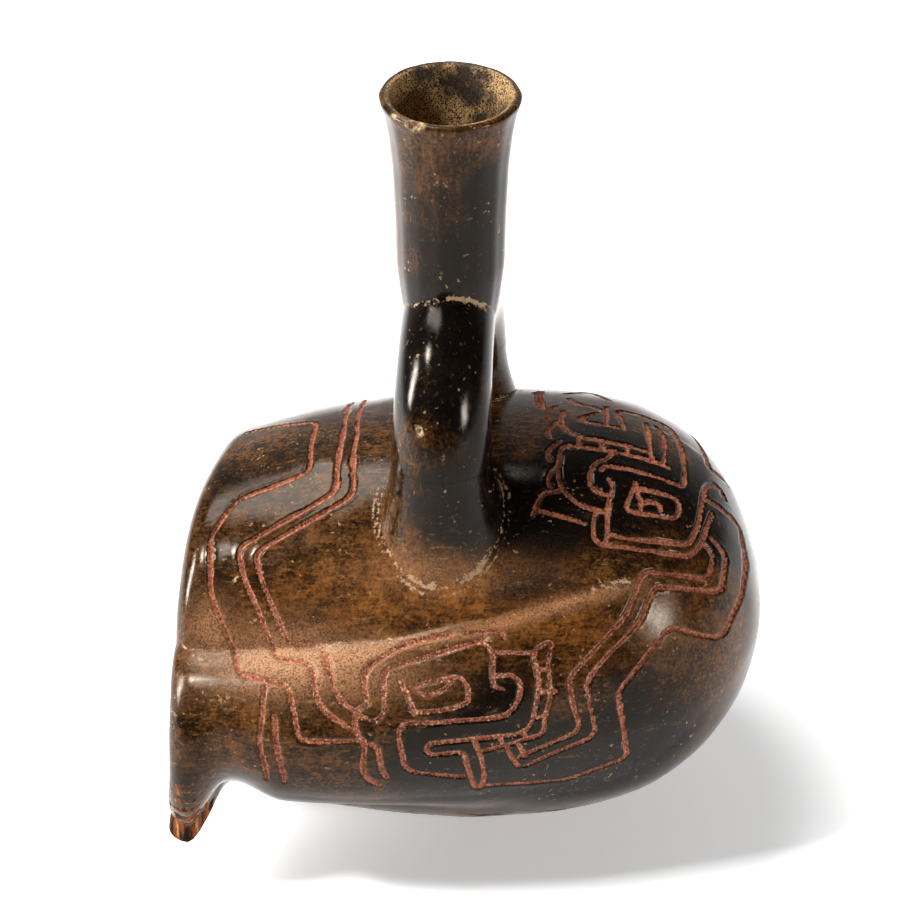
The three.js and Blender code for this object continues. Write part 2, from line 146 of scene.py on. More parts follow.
def smooth(t):
    """The cubic 3t^2 - 2t^3, from 0 at 0 to 1 at 1."""
    t = np.clip(t, 0, 1)
    return t * t * (3 - 2 * t)


def soft_max(a, b, k):
    """The larger of a and b, with the corner between them rounded over the width k."""
    h = np.clip(0.5 + 0.5 * (a - b) / k, 0, 1)
    return b + (a - b) * h + k * h * (1 - h)


def bump(t):
    """(1 - t^2)^2: 1 in the middle, 0 from -1 down and from 1 up."""
    return (1 - np.minimum(t * t, 1)) ** 2


def wrapped(angle):
    """The same angle from -90 to 270."""
    return (angle + 90) % TURN - 90


def ripple(points, wavelength, seed):
    """The sum of twelve sine waves of one wavelength in seeded directions, about -1 to 1."""
    random = np.random.default_rng(seed)
    ways = random.normal(size=(12, 3))
    ways /= np.linalg.norm(ways, axis=1)[:, None]
    phases = random.uniform(0, 2 * math.pi, 12)
    return np.sin(points @ ways.T * (2 * math.pi / wavelength) + phases).sum(1) / 5


# The body's form


def whorl_radius(x):
    """A shallow parabola left of the widest place, and a superellipse right of it."""
    left = WHORL_R - (WHORL_R - LEFT_R) * (np.clip(WIDEST_X - x, 0, None) / (WIDEST_X - LEFT_X)) ** 2
    u = np.clip((x - WIDEST_X) / (RIGHT_X - WIDEST_X), 0, 1)
    right = WHORL_R * (1 - u**DOME_FULLNESS) ** (1 / DOME_TIP)
    return np.where(x < WIDEST_X, left, right)


def crease_angle(x):
    """The angle of the crease above the lobe, a parabola in x."""
    return CREASE_ANGLE + CREASE_RISE * x + CREASE_CURVE * x * x


def crease_gap(x, angle, r):
    """The distance in millimetres from the crease above the lobe, along the surface."""
    return np.abs(np.radians(angle - crease_angle(x)) * r) + np.maximum(x - LOBE_GONE_X, 0)


def lobe_radius(x, angle, whorl):
    """The circle through both creases that stands out of the whorl by the lobe's height, seen from the
    axis: c cos d + sqrt(r^2 - c^2 sin^2 d) for a circle of radius r whose centre is c away."""
    middle = (crease_angle(x) + UNDERCUT_ANGLE) / 2
    half = np.radians((crease_angle(x) - UNDERCUT_ANGLE) / 2)
    out = LOBE_OUT * (1 - smooth((x - LOBE_FULL_X) / (LOBE_GONE_X - LOBE_FULL_X))) + 1e-6
    chord = whorl * np.sin(half)
    rise = whorl + out - whorl * np.cos(half)
    r = (chord * chord + rise * rise) / (2 * rise)
    centre = whorl + out - r
    d = np.radians(angle - middle)
    under = r * r - (centre * np.sin(d)) ** 2
    reach = centre * np.cos(d) + np.sqrt(np.maximum(under, 0))
    return np.where((under > 0) & (np.cos(d) > 0), reach, 0)


def section_radius(x, angle):
    """The whorl and the lobe, joined softly, with full low flanks and a lifted dome."""
    whorl = np.maximum(whorl_radius(x), 1e-3)
    dip = bump((x - HOLLOW_X) / HOLLOW_HALF_LENGTH) * bump((angle - HOLLOW_ANGLE) / HOLLOW_HALF_ANGLE)
    r = soft_max(whorl, lobe_radius(x, angle, whorl), CREASE_SOFTNESS) - HOLLOW_DEPTH * dip
    down = np.maximum(-np.sin(np.radians(angle)), 0)
    full = BELLY_FULLNESS * 4 * down**2 * (1 - down**2)
    return r * (1 + full - BELLY_LIFT * smooth((x - BELLY_X) / (RIGHT_X - BELLY_X)) * down)


def tongue_shape(angle):
    """1 at the tongue's tip, falling to 0 over its two sides as a power of the share that is left."""
    above = angle - TONGUE_ANGLE
    ramp = np.maximum(1 - above / TONGUE_ABOVE, 0) ** TONGUE_RAMP
    point = np.maximum(1 + above / TONGUE_BELOW, 0) ** TONGUE_POINT
    return np.where(above < 0, point, np.minimum(ramp, 1))


def outer_radius(x, angle):
    """The section and the tongue, less the rounded edge of the left end, cut off by the flat foot."""
    from_end = x - LEFT_X
    tongue = TONGUE_OUT * tongue_shape(angle) * (1 - smooth((from_end - TONGUE_THICK) / TONGUE_FLANK))
    edge = END_EDGE + (TONGUE_EDGE - END_EDGE) * np.sqrt(tongue_shape(angle))
    left = edge - np.minimum(from_end, edge)
    r = section_radius(x, angle) + tongue - edge + np.sqrt(edge * edge - left * left)
    down = -np.sin(np.radians(angle))
    foot = AXIS_HEIGHT / np.maximum(down, 1e-3)
    return np.where(down > 1e-3, -soft_max(-r, -foot, FOOT_EDGE), r)


def cavity_radius(x, angle):
    """The section inside the wall, with a rounded left edge and a flat floor."""
    stretch = (RIGHT_X - LEFT_X) / (RIGHT_X - LEFT_X - 2 * WALL)
    r = section_radius(LEFT_X + (x - LEFT_X - WALL) * stretch, angle) - WALL
    left = END_EDGE - np.minimum(x - LEFT_X - WALL, END_EDGE)
    r = np.maximum(r - END_EDGE + np.sqrt(END_EDGE * END_EDGE - left * left), 0)
    down = -np.sin(np.radians(angle))
    return np.where(down > 1e-3, np.minimum(r, (AXIS_HEIGHT - WALL) / np.maximum(down, 1e-3)), r)


def body_shift(x, y, r, angle):
    """How far a point lies along X from its section: the skew of the left end and the tongue's lean."""
    skew = END_SKEW * np.tanh(y / END_SKEW_WIDTH) * smooth((WIDEST_X - x) / (WIDEST_X - LEFT_X))
    out = tongue_shape(angle) * smooth((r - LEFT_R) / TONGUE_OUT)
    return skew - TONGUE_LEAN * out * (1 - smooth((x - LEFT_X) / (TONGUE_THICK + TONGUE_FLANK)))


def body_point(x, r, angle):
    """The point r from the axis at x, turned up from the front by the angle, and shifted along X."""
    y = -r * np.cos(np.radians(angle))
    z = AXIS_HEIGHT + r * np.sin(np.radians(angle))
    return np.stack([x + body_shift(x, y, r, angle), y, z], -1)


def body_place(points):
    """The x, angle and radius of points of the body: the shift is undone by repeated substitution."""
    y = points[:, 1]
    up = points[:, 2] - AXIS_HEIGHT
    r = np.hypot(y, up)
    angle = wrapped(np.degrees(np.arctan2(up, -y)))
    x = points[:, 0].copy()
    for _ in range(8):
        x = points[:, 0] - body_shift(x, y, r, angle)
    return x, angle, r


# The incised motif, as paths of x and angle


def band(path, width=BAND_WIDTH):
    """The two lines at half a width to either side of a path, mitred at its corners."""
    flat = np.array(path, float) * MM_PER_STEP
    along = np.diff(flat, axis=0)
    side = np.stack([-along[:, 1], along[:, 0]], 1)
    side /= np.linalg.norm(side, axis=1)[:, None]
    before = np.vstack([side[:1], side])
    after = np.vstack([side, side[-1:]])
    mitre = before + after
    mitre /= np.linalg.norm(mitre, axis=1)[:, None]
    mitre /= np.maximum((mitre * before).sum(1), 0.4)[:, None]
    return [(flat + share * width * mitre) / MM_PER_STEP for share in (-0.5, 0.5)]


def teeth(x0, x1, lower, upper):
    """Cross strokes between two rows, from x0 to x1 at the teeth's pitch."""
    count = round((x1 - x0) / TOOTH_PITCH)
    return [[(x, lower), (x, upper)] for x in np.linspace(x0, x1, count + 1)]


def curls(x, top, count):
    """A column of hooks that bulge to the left, down from an angle at the curls' pitch."""
    hook = [(0, 0), (-2.3, -2.6), (-3.2, -5.3), (-2.5, -7.3)]
    return [[(x + dx, top + da - i * CURL_PITCH) for dx, da in hook] for i in range(count)]


def left_contours():
    """The left side's outer line, and the band inside it, from the top down on to the lobe."""
    outer = [(-60, 107), (-39, 101), (-36.5, 76), (-55, 69), (-60, 57), (-58, 38), (-49.5, 17)]
    outer += [(-37, 16), (-35, 4), (-20, 4.6)]
    inner = [(-29, 111), (-26.8, 67), (-50, 52), (-48, 45), (-39.5, 22.8), (-31, 22.6)]
    return [outer, *band(inner + [(-28.5, 13), (-20.5, 8)])]


def right_contours():
    """The right side's band, and the outer line round it."""
    inner = [(70.3, 58), (74, 54), (72.5, 42), (53.5, 43), (49.3, 32), (33.9, 17), (37.3, 1)]
    outer = [(71, 75), (80.7, 76.8), (82.3, 58), (80.9, 39), (75.3, 22), (60.1, 29.5), (45.5, 12.6)]
    return [*band(inner + [(19.6, -5.5)]), outer + [(48.7, -12), (32, -16.4), (10, -12.5)]]


def lower_head():
    """The head on the lobe: brow, snout, eye, a toothed gum with a fang, and the lines behind it."""
    gum = [(4.7, -2.7), (3.8, 0.5), (-5, 0.2), (-5.6, 3.1), (-2.5, 3.7), (19.3, 3.7), (22.3, 6)]
    gum += [(23.9, 18.5), (22.1, 24.9), (27.6, 27.5), (26.4, 22), (27.2, 13.1), (25.5, 7.2)]
    rungs = ((19.8, 26.6), (14.2, 28.4), (7.8, 25.7))
    snout = [(12.2, 18.9), (18.1, 19.1), (19.4, 14.5), (16.7, 9.5), (10.7, 8.6), (-10.9, 8.4)]
    inner = [(-17.8, 8.9), (-15.5, 9.7), (-15.5, 20.5), (8.7, 27.1), (11.2, 24.5), (11.4, 16.1)]
    eye = [(-8.5, 16.4), (-7.8, 17.2), (1.6, 19.3), (4.7, 18.2), (5.4, 13.5), (4, 12.2), (-1.1, 11.3)]
    behind = [(-18.7, 12.7), (-21.7, 11.6), (-22, 7.1), (-19.6, 3.6), (-20.3, -1.3), (-19.7, -5.3)]
    return [
        [(-19.1, 13.3), (-20, 16.8), (-19.5, 21.1), (-10.2, 26), (1, 28.6)],
        inner + [(14.4, 15.7)],
        [(12.2, 24.5), (22.1, 24.2)],
        snout + [(-12, 6.2), (-10.5, -3.4), (-7.9, -4.8), (4, -7.8)],
        gum + [(25.8, 2.8), (8.8, -0.1)],
        *[[(23.6, angle), (reach, angle)] for angle, reach in rungs],
        [(6.8, 3.1), (8.6, -3.3), (9.6, -10.4), (7.7, -14.3), (5.9, -8.1), (4.5, -2.7)],
        eye + [(-8.3, 11.1)],
        [(-8.9, 16.8), (-7, 15.2), (-4.3, 15), (-0.7, 16.2), (1.2, 18.6)],
        [(-11.6, 18.4), (-8, 10.7)],
        behind + [(-16.7, -8.8)],
        [(-20.2, 3.4), (-17, 3.6), (-16.4, -0.8), (-14.9, -6.1)],
        [(-43, 15.5), (-44, 3), (-42.7, -7.4)],
        [(-40.6, 9.2), (-38.4, -7.3)],
    ]


def upper_head():
    """The head on the dome: jaw, eye, snout, toothed gum, brow and a mane of curls."""
    jaw = [(42.4, 55), (47.3, 54), (65.2, 54.3), (68, 61.6), (70.9, 81), (73.6, 86), (76, 88.2)]
    eye = [(50.3, 69.7), (61.3, 69.8), (62.6, 68), (62, 63.5), (60.4, 61.9), (48.4, 62), (47.4, 63.4)]
    snout = [(41.4, 74.2), (41.8, 76), (64.3, 74.7), (65.3, 82), (64.3, 93.9), (62.1, 105), (46.6, 103)]
    gum = [(60.1, 80.4), (48, 81.2), (30.6, 82.4), (29.3, 72), (29.7, 67.7), (34.7, 62.3)]
    return [
        [(43.3, 71.1), (44.5, 69), (43.2, 63.8), (42.1, 53)],
        jaw + [(76.8, 83.7)],
        [(39.5, 60.9), (38.5, 57.4), (38.5, 52), (62.6, 50.5), (66.1, 51.3), (69.2, 57.4), (72.2, 70)],
        eye + [(50.8, 71)],
        [(51, 68.3), (51.8, 65), (51.7, 62.6)],
        [(51.3, 64.8), (55.5, 66.4), (57.2, 65.7), (57.2, 63.9)],
        snout + [(48.5, 92.3)],
        [(54.8, 99.5), (55.5, 82.3), (56.4, 80.9), (58.9, 81), (59.4, 96), (57.7, 100)],
        [(31.7, 98), (31, 93.7), (31.4, 88.4), (35.9, 85.6), (54.4, 84.2)],
        gum + [(42.6, 60.8)],
        *teeth(35.2, 48.5, 81.8, 85),
        [(44.7, 81.7), (43.1, 78.4), (39.6, 77.1), (37.4, 71), (38.8, 66.8), (43.3, 65.9)],
        [(40.8, 98.7), (35.6, 94.9), (37.4, 92.9), (46.4, 92.2)],
        *curls(29.8, 100.8, 4),
        [(29.4, 66.6), (26.1, 66.2), (24.5, 64.2), (22.3, 59.2)],
        [(24.2, 60.7), (30.2, 59.3), (36.4, 57.3)],
    ]


def back_contours():
    """The plainer back: the left band and the right outer line again, mirrored."""
    lines = [*left_contours()[1:], right_contours()[-1]]
    return [[(x, 2 * BACK_MIRROR - angle) for x, angle in line] for line in lines]


def rounded(path):
    """The path with its corners cut off, first at a fixed distance, then at a third of that."""
    points = np.array(path, float) * MM_PER_STEP
    for cut in (CORNER_CUT, CORNER_CUT / 3):
        if len(points) < 3:
            break
        along = np.diff(points, axis=0)
        length = np.linalg.norm(along, axis=1)[:, None]
        step = along / length * np.minimum(cut, 0.3 * length)
        corners = np.stack([points[1:-1] - step[:-1], points[1:-1] + step[1:]], 1)
        points = np.vstack([points[:1], corners.reshape(-1, 2), points[-1:]])
    return points / MM_PER_STEP


def fine_strokes():
    """Short joins and hooks between the main lines."""
    return [
        [(4.4, 28.8), (13.7, 29.6), (14.7, 27.8)],
        [(8.7, 27.1), (9.6, 29.2)],
        [(18.7, -6.9), (16.3, -2.8), (15.3, 0.3)],
        [(20.6, -4.2), (18.6, 0.4)],
        [(19.8, 4.7), (20.5, 2.1)],
        [(13.2, 3.9), (14.3, 1.1)],
        [(44.3, 104), (43.3, 93.2)],
        [(24.2, 111.6), (24.1, 101.7), (25.9, 98.9)],
        [(25.6, 113.3), (25.6, 99.6)],
        [(33.6, 107.4), (35.9, 103), (40.3, 103.1), (43.3, 100.4)],
        [(32.8, 111.8), (40.2, 118.3), (44.6, 110.4)],
        [(68, 119.5), (71.5, 107), (72.3, 93), (77.9, 100)],
    ]


MOTIF = [
    rounded(path)
    for lines in (left_contours, right_contours, lower_head, upper_head, back_contours, fine_strokes)
    for path in lines()
]


def groove_distance(x, angle, r, reach=6.0):
    """The distance in millimetres to the nearest stroke, up to the reach: the least distance to any of
    its straight stretches, with degrees turned into length at the point's own radius."""
    per_degree = np.radians(r)
    least = np.full(len(x), reach)
    for path in MOTIF:
        low = path.min(0) - [reach, reach / math.radians(LEFT_R)]
        high = path.max(0) + [reach, reach / math.radians(LEFT_R)]
        near = np.flatnonzero((x > low[0]) & (x < high[0]) & (angle > low[1]) & (angle < high[1]))
        if not len(near):
            continue
        start = path[:-1]
        along = np.diff(path, axis=0)
        scale = per_degree[near, None]
        dx = x[near, None] - start[:, 0]
        dy = (angle[near, None] - start[:, 1]) * scale
        ax = along[:, 0]
        ay = along[:, 1] * scale
        t = np.clip((dx * ax + dy * ay) / (ax * ax + ay * ay), 0, 1)
        gap = np.hypot(dx - t * ax, dy - t * ay).min(1)
        least[near] = np.minimum(least[near], gap)
    return least


def stroke_gap(points, x, angle, r):
    """The distance to the nearest stroke as a hand drew it, wandering a little, and the stroke's own
    half width there."""
    wander = HAND_WANDER * ripple(points, 13, 3)
    sway = HAND_WANDER * ripple(points, 17, 4)
    gap = groove_distance(x + wander, angle + sway / np.radians(np.maximum(r, 1)), r)
    half = GROOVE_WIDTH / 2 * (1 + 0.16 * ripple(points, 11, 5) + 0.04 * ripple(points, 3, 6))
    return gap, half


# Meshes as arrays


def grid_faces(rows, columns):
    """The triangles between the rows of a grid that is closed along its columns."""
    i, j = np.meshgrid(np.arange(rows - 1), np.arange(columns), indexing="ij")
    k = (j + 1) % columns
    a, b = i * columns + j, (i + 1) * columns + j
    c, d = (i + 1) * columns + k, i * columns + k
    return np.vstack([np.stack([a, b, c], -1).reshape(-1, 3), np.stack([a, c, d], -1).reshape(-1, 3)])


def closed_grid(rings, first, last):
    """Points and triangles of a grid of rings, closed by a fan at each end."""
    rows, columns, _ = rings.shape
    points = np.vstack([rings.reshape(-1, 3), first, last])
    j = np.arange(columns)
    k = (j + 1) % columns
    end = (rows - 1) * columns
    fans = [
        np.stack([np.full(columns, rows * columns), j, k], 1),
        np.stack([np.full(columns, rows * columns + 1), end + k, end + j], 1),
    ]
    return points, np.vstack([grid_faces(rows, columns), *fans])


def outward(points, faces):
    """The triangles, turned round if the volume that they close is negative."""
    a, b, c = (points[faces[:, i]] for i in range(3))
    volume = (a * np.cross(b, c)).sum()
    return faces if volume > 0 else faces[:, ::-1]


def mesh_object(name, points, faces):
    """A smooth mesh object from points in millimetres."""
    mesh = bpy.data.meshes.new(name)
    mesh.vertices.add(len(points))
    mesh.vertices.foreach_set("co", (points * MM).ravel())
    mesh.loops.add(faces.size)
    mesh.loops.foreach_set("vertex_index", faces.ravel().astype(np.int32))
    mesh.polygons.add(len(faces))
    mesh.polygons.foreach_set("loop_start", np.arange(0, faces.size, 3, dtype=np.int32))
    mesh.update(calc_edges=True)
    mesh.validate()
    made = bpy.data.objects.new(name, mesh)
    bpy.context.scene.collection.objects.link(made)
    return made


def vertex_normals(points, faces):
    """The mean of the normals of the triangles round each point, weighted by their area."""
    a, b, c = (points[faces[:, i]] for i in range(3))
    face = np.cross(b - a, c - a)
    normals = np.zeros_like(points)
    for i in range(3):
        np.add.at(normals, faces[:, i], face)
    return normals / np.maximum(np.linalg.norm(normals, axis=1), 1e-12)[:, None]


def split(faces, marked, middle):
    """Triangles with every marked edge halved: four for three marked edges, two for one."""
    count = marked.sum(1)
    three = count == 3
    parts = [faces[count == 0]]
    a, b, c = faces[three].T
    ab, bc, ca = middle[three].T
    parts += [np.stack(t, 1) for t in ((a, ab, ca), (ab, b, bc), (ca, bc, c), (ab, bc, ca))]
    for i in range(3):
        one = (count == 1) & marked[:, i]
        p, q, r = faces[one][:, [i, (i + 1) % 3, (i + 2) % 3]].T
        m = middle[one, i]
        parts += [np.stack(t, 1) for t in ((p, m, r), (m, q, r))]
    return np.vstack(parts)


def refined(place, faces, rounds):
    """Halves the edges near a stroke, the crease or the rings round the legs until they are short
    enough. A triangle with two such edges has its third one halved too."""
    for _ in range(rounds):
        ends = np.stack([faces, np.roll(faces, -1, 1)], -1).reshape(-1, 2)
        edges, back = np.unique(np.sort(ends, 1), axis=0, return_inverse=True)
        back = back.reshape(-1, 3)
        a, b = place[edges[:, 0]], place[edges[:, 1]]
        half = (b - a) / 2
        half[:, 1] = ((b[:, 1] - a[:, 1] + 180) % TURN - 180) / 2
        mid = a + half
        mid[:, 1] = wrapped(mid[:, 1])
        r = outer_radius(np.clip(mid[:, 0], LEFT_X, RIGHT_X), mid[:, 1])
        span = np.hypot(2 * half[:, 0], 2 * np.radians(half[:, 1]) * np.maximum(r, 1))
        gap = groove_distance(mid[:, 0], mid[:, 1], np.maximum(r, 1), 12.0)
        wanted = GROOVE_STEP + GROOVE_SPREAD * np.maximum(gap - GROOVE_REACH, 0)
        crease = CREASE_STEP + CREASE_SPREAD * crease_gap(mid[:, 0], mid[:, 1], r)
        ring = np.abs(tube_gap(body_point(mid[:, 0], r, mid[:, 1])) - COLLAR_OUT - RING_MIDDLE)
        ring = GROOVE_STEP + RING_SPREAD * np.maximum(ring - RING_REACH, 0)
        wanted = np.minimum(np.minimum(wanted, crease), ring)
        marked = (span > EDGE_SLACK * wanted) & (mid[:, 2] > 0.999) & (r > TIP_R)
        while True:
            chosen = marked[back]
            grown = chosen.sum(1) == 2
            if not grown.any():
                break
            marked[back[grown].ravel()] = True
        number = np.full(len(edges), -1)
        number[marked] = len(place) + np.arange(marked.sum())
        place = np.vstack([place, mid[marked]])
        faces = split(faces, marked[back], number[back])
    return place, faces


def spaced(low, high, step):
    """Stations from low to high, close together at both ends: half a cosine wave."""
    count = int((high - low) / step * 1.25)
    return low + (high - low) * (0.5 - 0.5 * np.cos(np.linspace(0, math.pi, count)))


def body_skin():
    """The body's outside: the polar radius over x and angle, with the left end as rings of a share of
    it, the surface uneven by hand, and the strokes pressed in along the normals."""
    columns = int(TURN / math.degrees(SKIN_STEP / WHORL_R))
    angles = wrapped(np.arange(columns) * TURN / columns)
    stations = spaced(LEFT_X, RIGHT_X, SKIN_STEP)[:-1]
    shares = np.linspace(0, 1, 16)[1:-1]
    x = np.concatenate([np.full(len(shares), LEFT_X), stations])
    reach = np.concatenate([shares, np.ones(len(stations))])
    rows = len(x)
    place = np.stack(
        [np.repeat(x, columns), np.tile(angles, rows), np.repeat(reach, columns)], 1
    )
    flat, faces = closed_grid(place.reshape(rows, columns, 3), [[LEFT_X, 0, 0]], [[RIGHT_X, 0, 1]])
    place, faces = refined(flat, faces, 3)
    x, angle, reach = place.T
    points = body_point(x, reach * outer_radius(x, angle), angle)
    points[:, 0] += END_DISH * (1 - smooth(reach / 0.9)) * (reach < 1)
    faces = outward(points, faces)
    normals = vertex_normals(points, faces)
    uneven = 0.28 * ripple(points, 46, 1) + 0.1 * ripple(points, 17, 2)
    uneven *= smooth((points[:, 2] - 1) / 8)
    gap, half = stroke_gap(points, x, angle, outer_radius(x, angle))
    inside = np.clip(1 - (gap / half) ** 2, 0, 1)
    burr = 0.07 * np.exp(-(((gap - 1.25 * half) / 0.45) ** 2))
    depth = GROOVE_DEPTH * (1 + 0.2 * ripple(points, 5, 7)) * np.sqrt(inside) * smooth(inside * 1.6)
    line = np.radians(angle - crease_angle(x)) * outer_radius(x, angle) + 0.5 * ripple(points, 22, 8)
    pressed = CREASE_DEPTH * np.exp(-((line / 0.9) ** 2)) * smooth((LOBE_GONE_X - 6 - x) / 40)
    pressed *= smooth((x - LEFT_X - 3) / 16)
    rise = uneven - pressed + np.where(reach < 1, 0, burr - depth)
    return points + normals * rise[:, None], faces


def cavity_skin():
    """The body's inside: the cavity's polar radius over x and angle."""
    columns = 72
    angles = wrapped(np.arange(columns) * TURN / columns)
    x = spaced(LEFT_X + WALL, RIGHT_X - WALL, 5.0)[:-1]
    rings = body_point(x[:, None], cavity_radius(x[:, None], angles[None]), angles[None])
    tips = body_point(np.array([x[0], RIGHT_X - WALL]), np.zeros(2), np.zeros(2))
    points, faces = closed_grid(rings, tips[:1], tips[1:])
    return points, outward(points, faces)


def whorl_top(x, y):
    """The height of the whorl's surface over a point of the ground."""
    return AXIS_HEIGHT + np.sqrt(np.maximum(whorl_radius(x) ** 2 - y * y, 0))


def stirrup_skin(radius, root, collar, columns):
    """A circle carried up one leg, over the half circle of the arch and down the other leg. Low on a
    leg, each point rises and falls with the whorl's surface beneath it, and the circle widens."""
    r = LEG_SPACING / 2
    leg_top = ARCH_SPRING - whorl_top(0, r)
    straight = np.linspace(COLLAR_HEIGHT, leg_top, 3)[1:]
    up = np.concatenate([np.linspace(-root, COLLAR_HEIGHT, 14), straight])
    turn = np.linspace(0, math.pi, 46)
    q = np.linspace(0, 2 * math.pi, columns, endpoint=False)
    rings = []
    for side, heights in ((-1, up[:-1]), (1, up[:-1][::-1])):
        share = np.clip(heights / COLLAR_HEIGHT, 0, 1)[:, None]
        wide = radius + collar * (1 - share) ** 2
        px = np.sin(q)[None] * wide
        py = side * (r - np.cos(q)[None] * wide)
        follow = 1 - smooth(heights / leg_top)[:, None]
        base = follow * (whorl_top(px, py) - whorl_top(0, r)) + whorl_top(0, r)
        rings.append(np.stack([px + 0 * base, py, base + heights[:, None]], -1))
    arch = np.stack(
        [
            np.sin(q) * radius * (1 - CROWN_SLIM * np.sin(turn)[:, None]),
            -np.cos(turn)[:, None] * (r - np.cos(q) * radius),
            ARCH_SPRING + np.sin(turn)[:, None] * (r - np.cos(q) * radius),
        ],
        -1,
    )
    rings = np.concatenate([rings[0], arch, rings[1]])
    points, faces = closed_grid(rings, rings[0].mean(0)[None], rings[-1].mean(0)[None])
    c, s = math.cos(math.radians(-STIRRUP_TURN)), math.sin(math.radians(-STIRRUP_TURN))
    points = points @ np.array([[c, s, 0], [-s, c, 0], [0, 0, 1]])
    return points, outward(points, faces)


def spout_radius(z):
    """The spout's outer radius at a height: a rounded foot, a slow taper and a quick flare, from points
    joined by straight lines and smoothed by a moving mean."""
    flare = RIM_R - THROAT_R
    shares = [-0.1, -0.05, 0, 0.1, 0.24, 0.45, 0.7, 0.85, 0.94, 1]
    rise = THROAT_R - FOOT_R
    radii = [0.83 * FOOT_R, 0.95 * FOOT_R, FOOT_R, FOOT_R + 0.45 * rise, FOOT_R + 0.91 * rise, THROAT_R]
    radii += [THROAT_R + 0.17 * flare, THROAT_R + 0.43 * flare, THROAT_R + 0.7 * flare, RIM_R]
    share = (z - ARCH_TOP) / (RIM_HEIGHT - LIP_ROUND - ARCH_TOP)
    fine = np.linspace(-0.1, 1, 220)
    soft = np.interp(fine, shares, radii)
    kernel = np.hanning(25)
    beyond = soft[-1] + (soft[-1] - soft[-2]) * np.arange(1, 13)
    padded = np.concatenate([np.full(12, soft[0]), soft, beyond])
    soft = np.convolve(padded, kernel / kernel.sum(), "valid")
    return np.interp(share, fine, soft)


def bore_radius(z):
    """The spout's bore: its outside less a wall that thins towards the rim."""
    share = (z - ARCH_TOP) / SPOUT_HEIGHT
    wall = SPOUT_WALL + (RIM_WALL - SPOUT_WALL) * smooth((share - 0.4) / 0.6)
    return spout_radius(np.maximum(z, ARCH_TOP + 0.14 * SPOUT_HEIGHT)) - wall


def lathe(heights, radii, columns):
    """A profile of heights and radii turned round the spout's axis, with the faint upright facets that
    the rubbing left: the radius goes up and down by three sine waves of the angle."""
    q = np.linspace(0, 2 * math.pi, columns, endpoint=False)
    facets = 0.14 * np.sin(3 * q + 1) + 0.09 * np.sin(8 * q + 2) + 0.05 * np.sin(17 * q)
    return np.stack([(radii + facets) * np.cos(q), (radii + facets) * np.sin(q), heights + 0 * q], -1)


def spout_skin():
    """The spout's outside with its rounded lip, closed below and above, a little out of round."""
    z = np.linspace(ARCH_TOP - 0.1 * SPOUT_HEIGHT, RIM_HEIGHT - LIP_ROUND, 76)
    bend = np.linspace(0, math.pi / 2, 7)[1:]
    edge = spout_radius(RIM_HEIGHT) - LIP_ROUND
    heights = np.concatenate([z, RIM_HEIGHT - LIP_ROUND + LIP_ROUND * np.sin(bend)])
    radii = np.concatenate([spout_radius(z), edge + LIP_ROUND * np.cos(bend)])
    rings = lathe(heights[:, None], radii[:, None], 128)
    points, faces = closed_grid(rings, [[0, 0, heights[0]]], [[0, 0, RIM_HEIGHT]])
    return points, outward(points, faces)


def spout_bore():
    """The bore from inside the arch to above the rim, with a rounded inner lip."""
    z = np.linspace(ARCH_TOP - 1, RIM_HEIGHT - LIP_ROUND, 60)
    bend = np.linspace(0, math.pi / 2, 7)[1:]
    edge = bore_radius(np.array([RIM_HEIGHT]))[0]
    heights = np.concatenate([z, RIM_HEIGHT - LIP_ROUND + LIP_ROUND * np.sin(bend), [RIM_HEIGHT + 3]])
    radii = np.concatenate([bore_radius(z), edge + LIP_ROUND * (1 - np.cos(bend)), [edge + LIP_ROUND]])
    rings = lathe(heights[:, None], radii[:, None], 128)
    points, faces = closed_grid(rings, [[0, 0, heights[0]]], [[0, 0, heights[-1]]])
    return points, outward(points, faces)


def lump(centre, radii, seed):
    """An ellipsoid over two angles whose radius is uneven by an eighth, to cut a chip or a pit."""
    a = np.linspace(0, math.pi, 17)[1:-1, None]
    q = np.linspace(0, 2 * math.pi, 28, endpoint=False)[None]
    ball = np.stack([np.sin(a) * np.cos(q), np.sin(a) * np.sin(q), np.cos(a) + 0 * q], -1)
    rough = 1 + 0.12 * ripple(ball.reshape(-1, 3), 1.1, seed).reshape(ball.shape[:2])
    rings = ball * rough[..., None] * radii + centre
    tips = np.array([[0, 0, radii[2]], [0, 0, -radii[2]]]) + centre
    points, faces = closed_grid(rings, tips[:1], tips[1:])
    return points, outward(points, faces)


def combine(target, other, operation):
    """Joins or cuts the target by another closed mesh, and removes that mesh."""
    change = target.modifiers.new(operation.title(), "BOOLEAN")
    change.operation = operation
    change.solver = "MANIFOLD"
    change.object = other
    with bpy.context.temp_override(object=target, active_object=target):
        bpy.ops.object.modifier_apply(modifier=change.name)
    bpy.data.objects.remove(other)


def positions(mesh):
    """The mesh's points in millimetres."""
    flat = np.zeros(len(mesh.vertices) * 3)
    mesh.vertices.foreach_get("co", flat)
    return flat.reshape(-1, 3) / MM


def build_vessel():
    """The body, the stirrup and the spout joined, and their hollows cut out."""
    skin = mesh_object("vessel_skin", *body_skin())
    combine(skin, mesh_object("stirrup", *stirrup_skin(TUBE_R, LEG_ROOT, COLLAR_OUT, 72)), "UNION")
    combine(skin, mesh_object("spout", *spout_skin()), "UNION")
    combine(skin, mesh_object("cavity", *cavity_skin()), "DIFFERENCE")
    combine(skin, mesh_object("bore", *stirrup_skin(TUBE_R - TUBE_WALL, 12, 0, 32)), "DIFFERENCE")
    combine(skin, mesh_object("mouth", *spout_bore()), "DIFFERENCE")
    for seed, (centre, radii) in enumerate(NICKS):
        combine(skin, mesh_object("nick", *lump(centre, radii, seed)), "DIFFERENCE")
    skin.data.shade_smooth()
    skin.data.set_sharp_from_angle(angle=math.radians(55))
    return skin


# Masks on the finished skin, each from 0 to 1


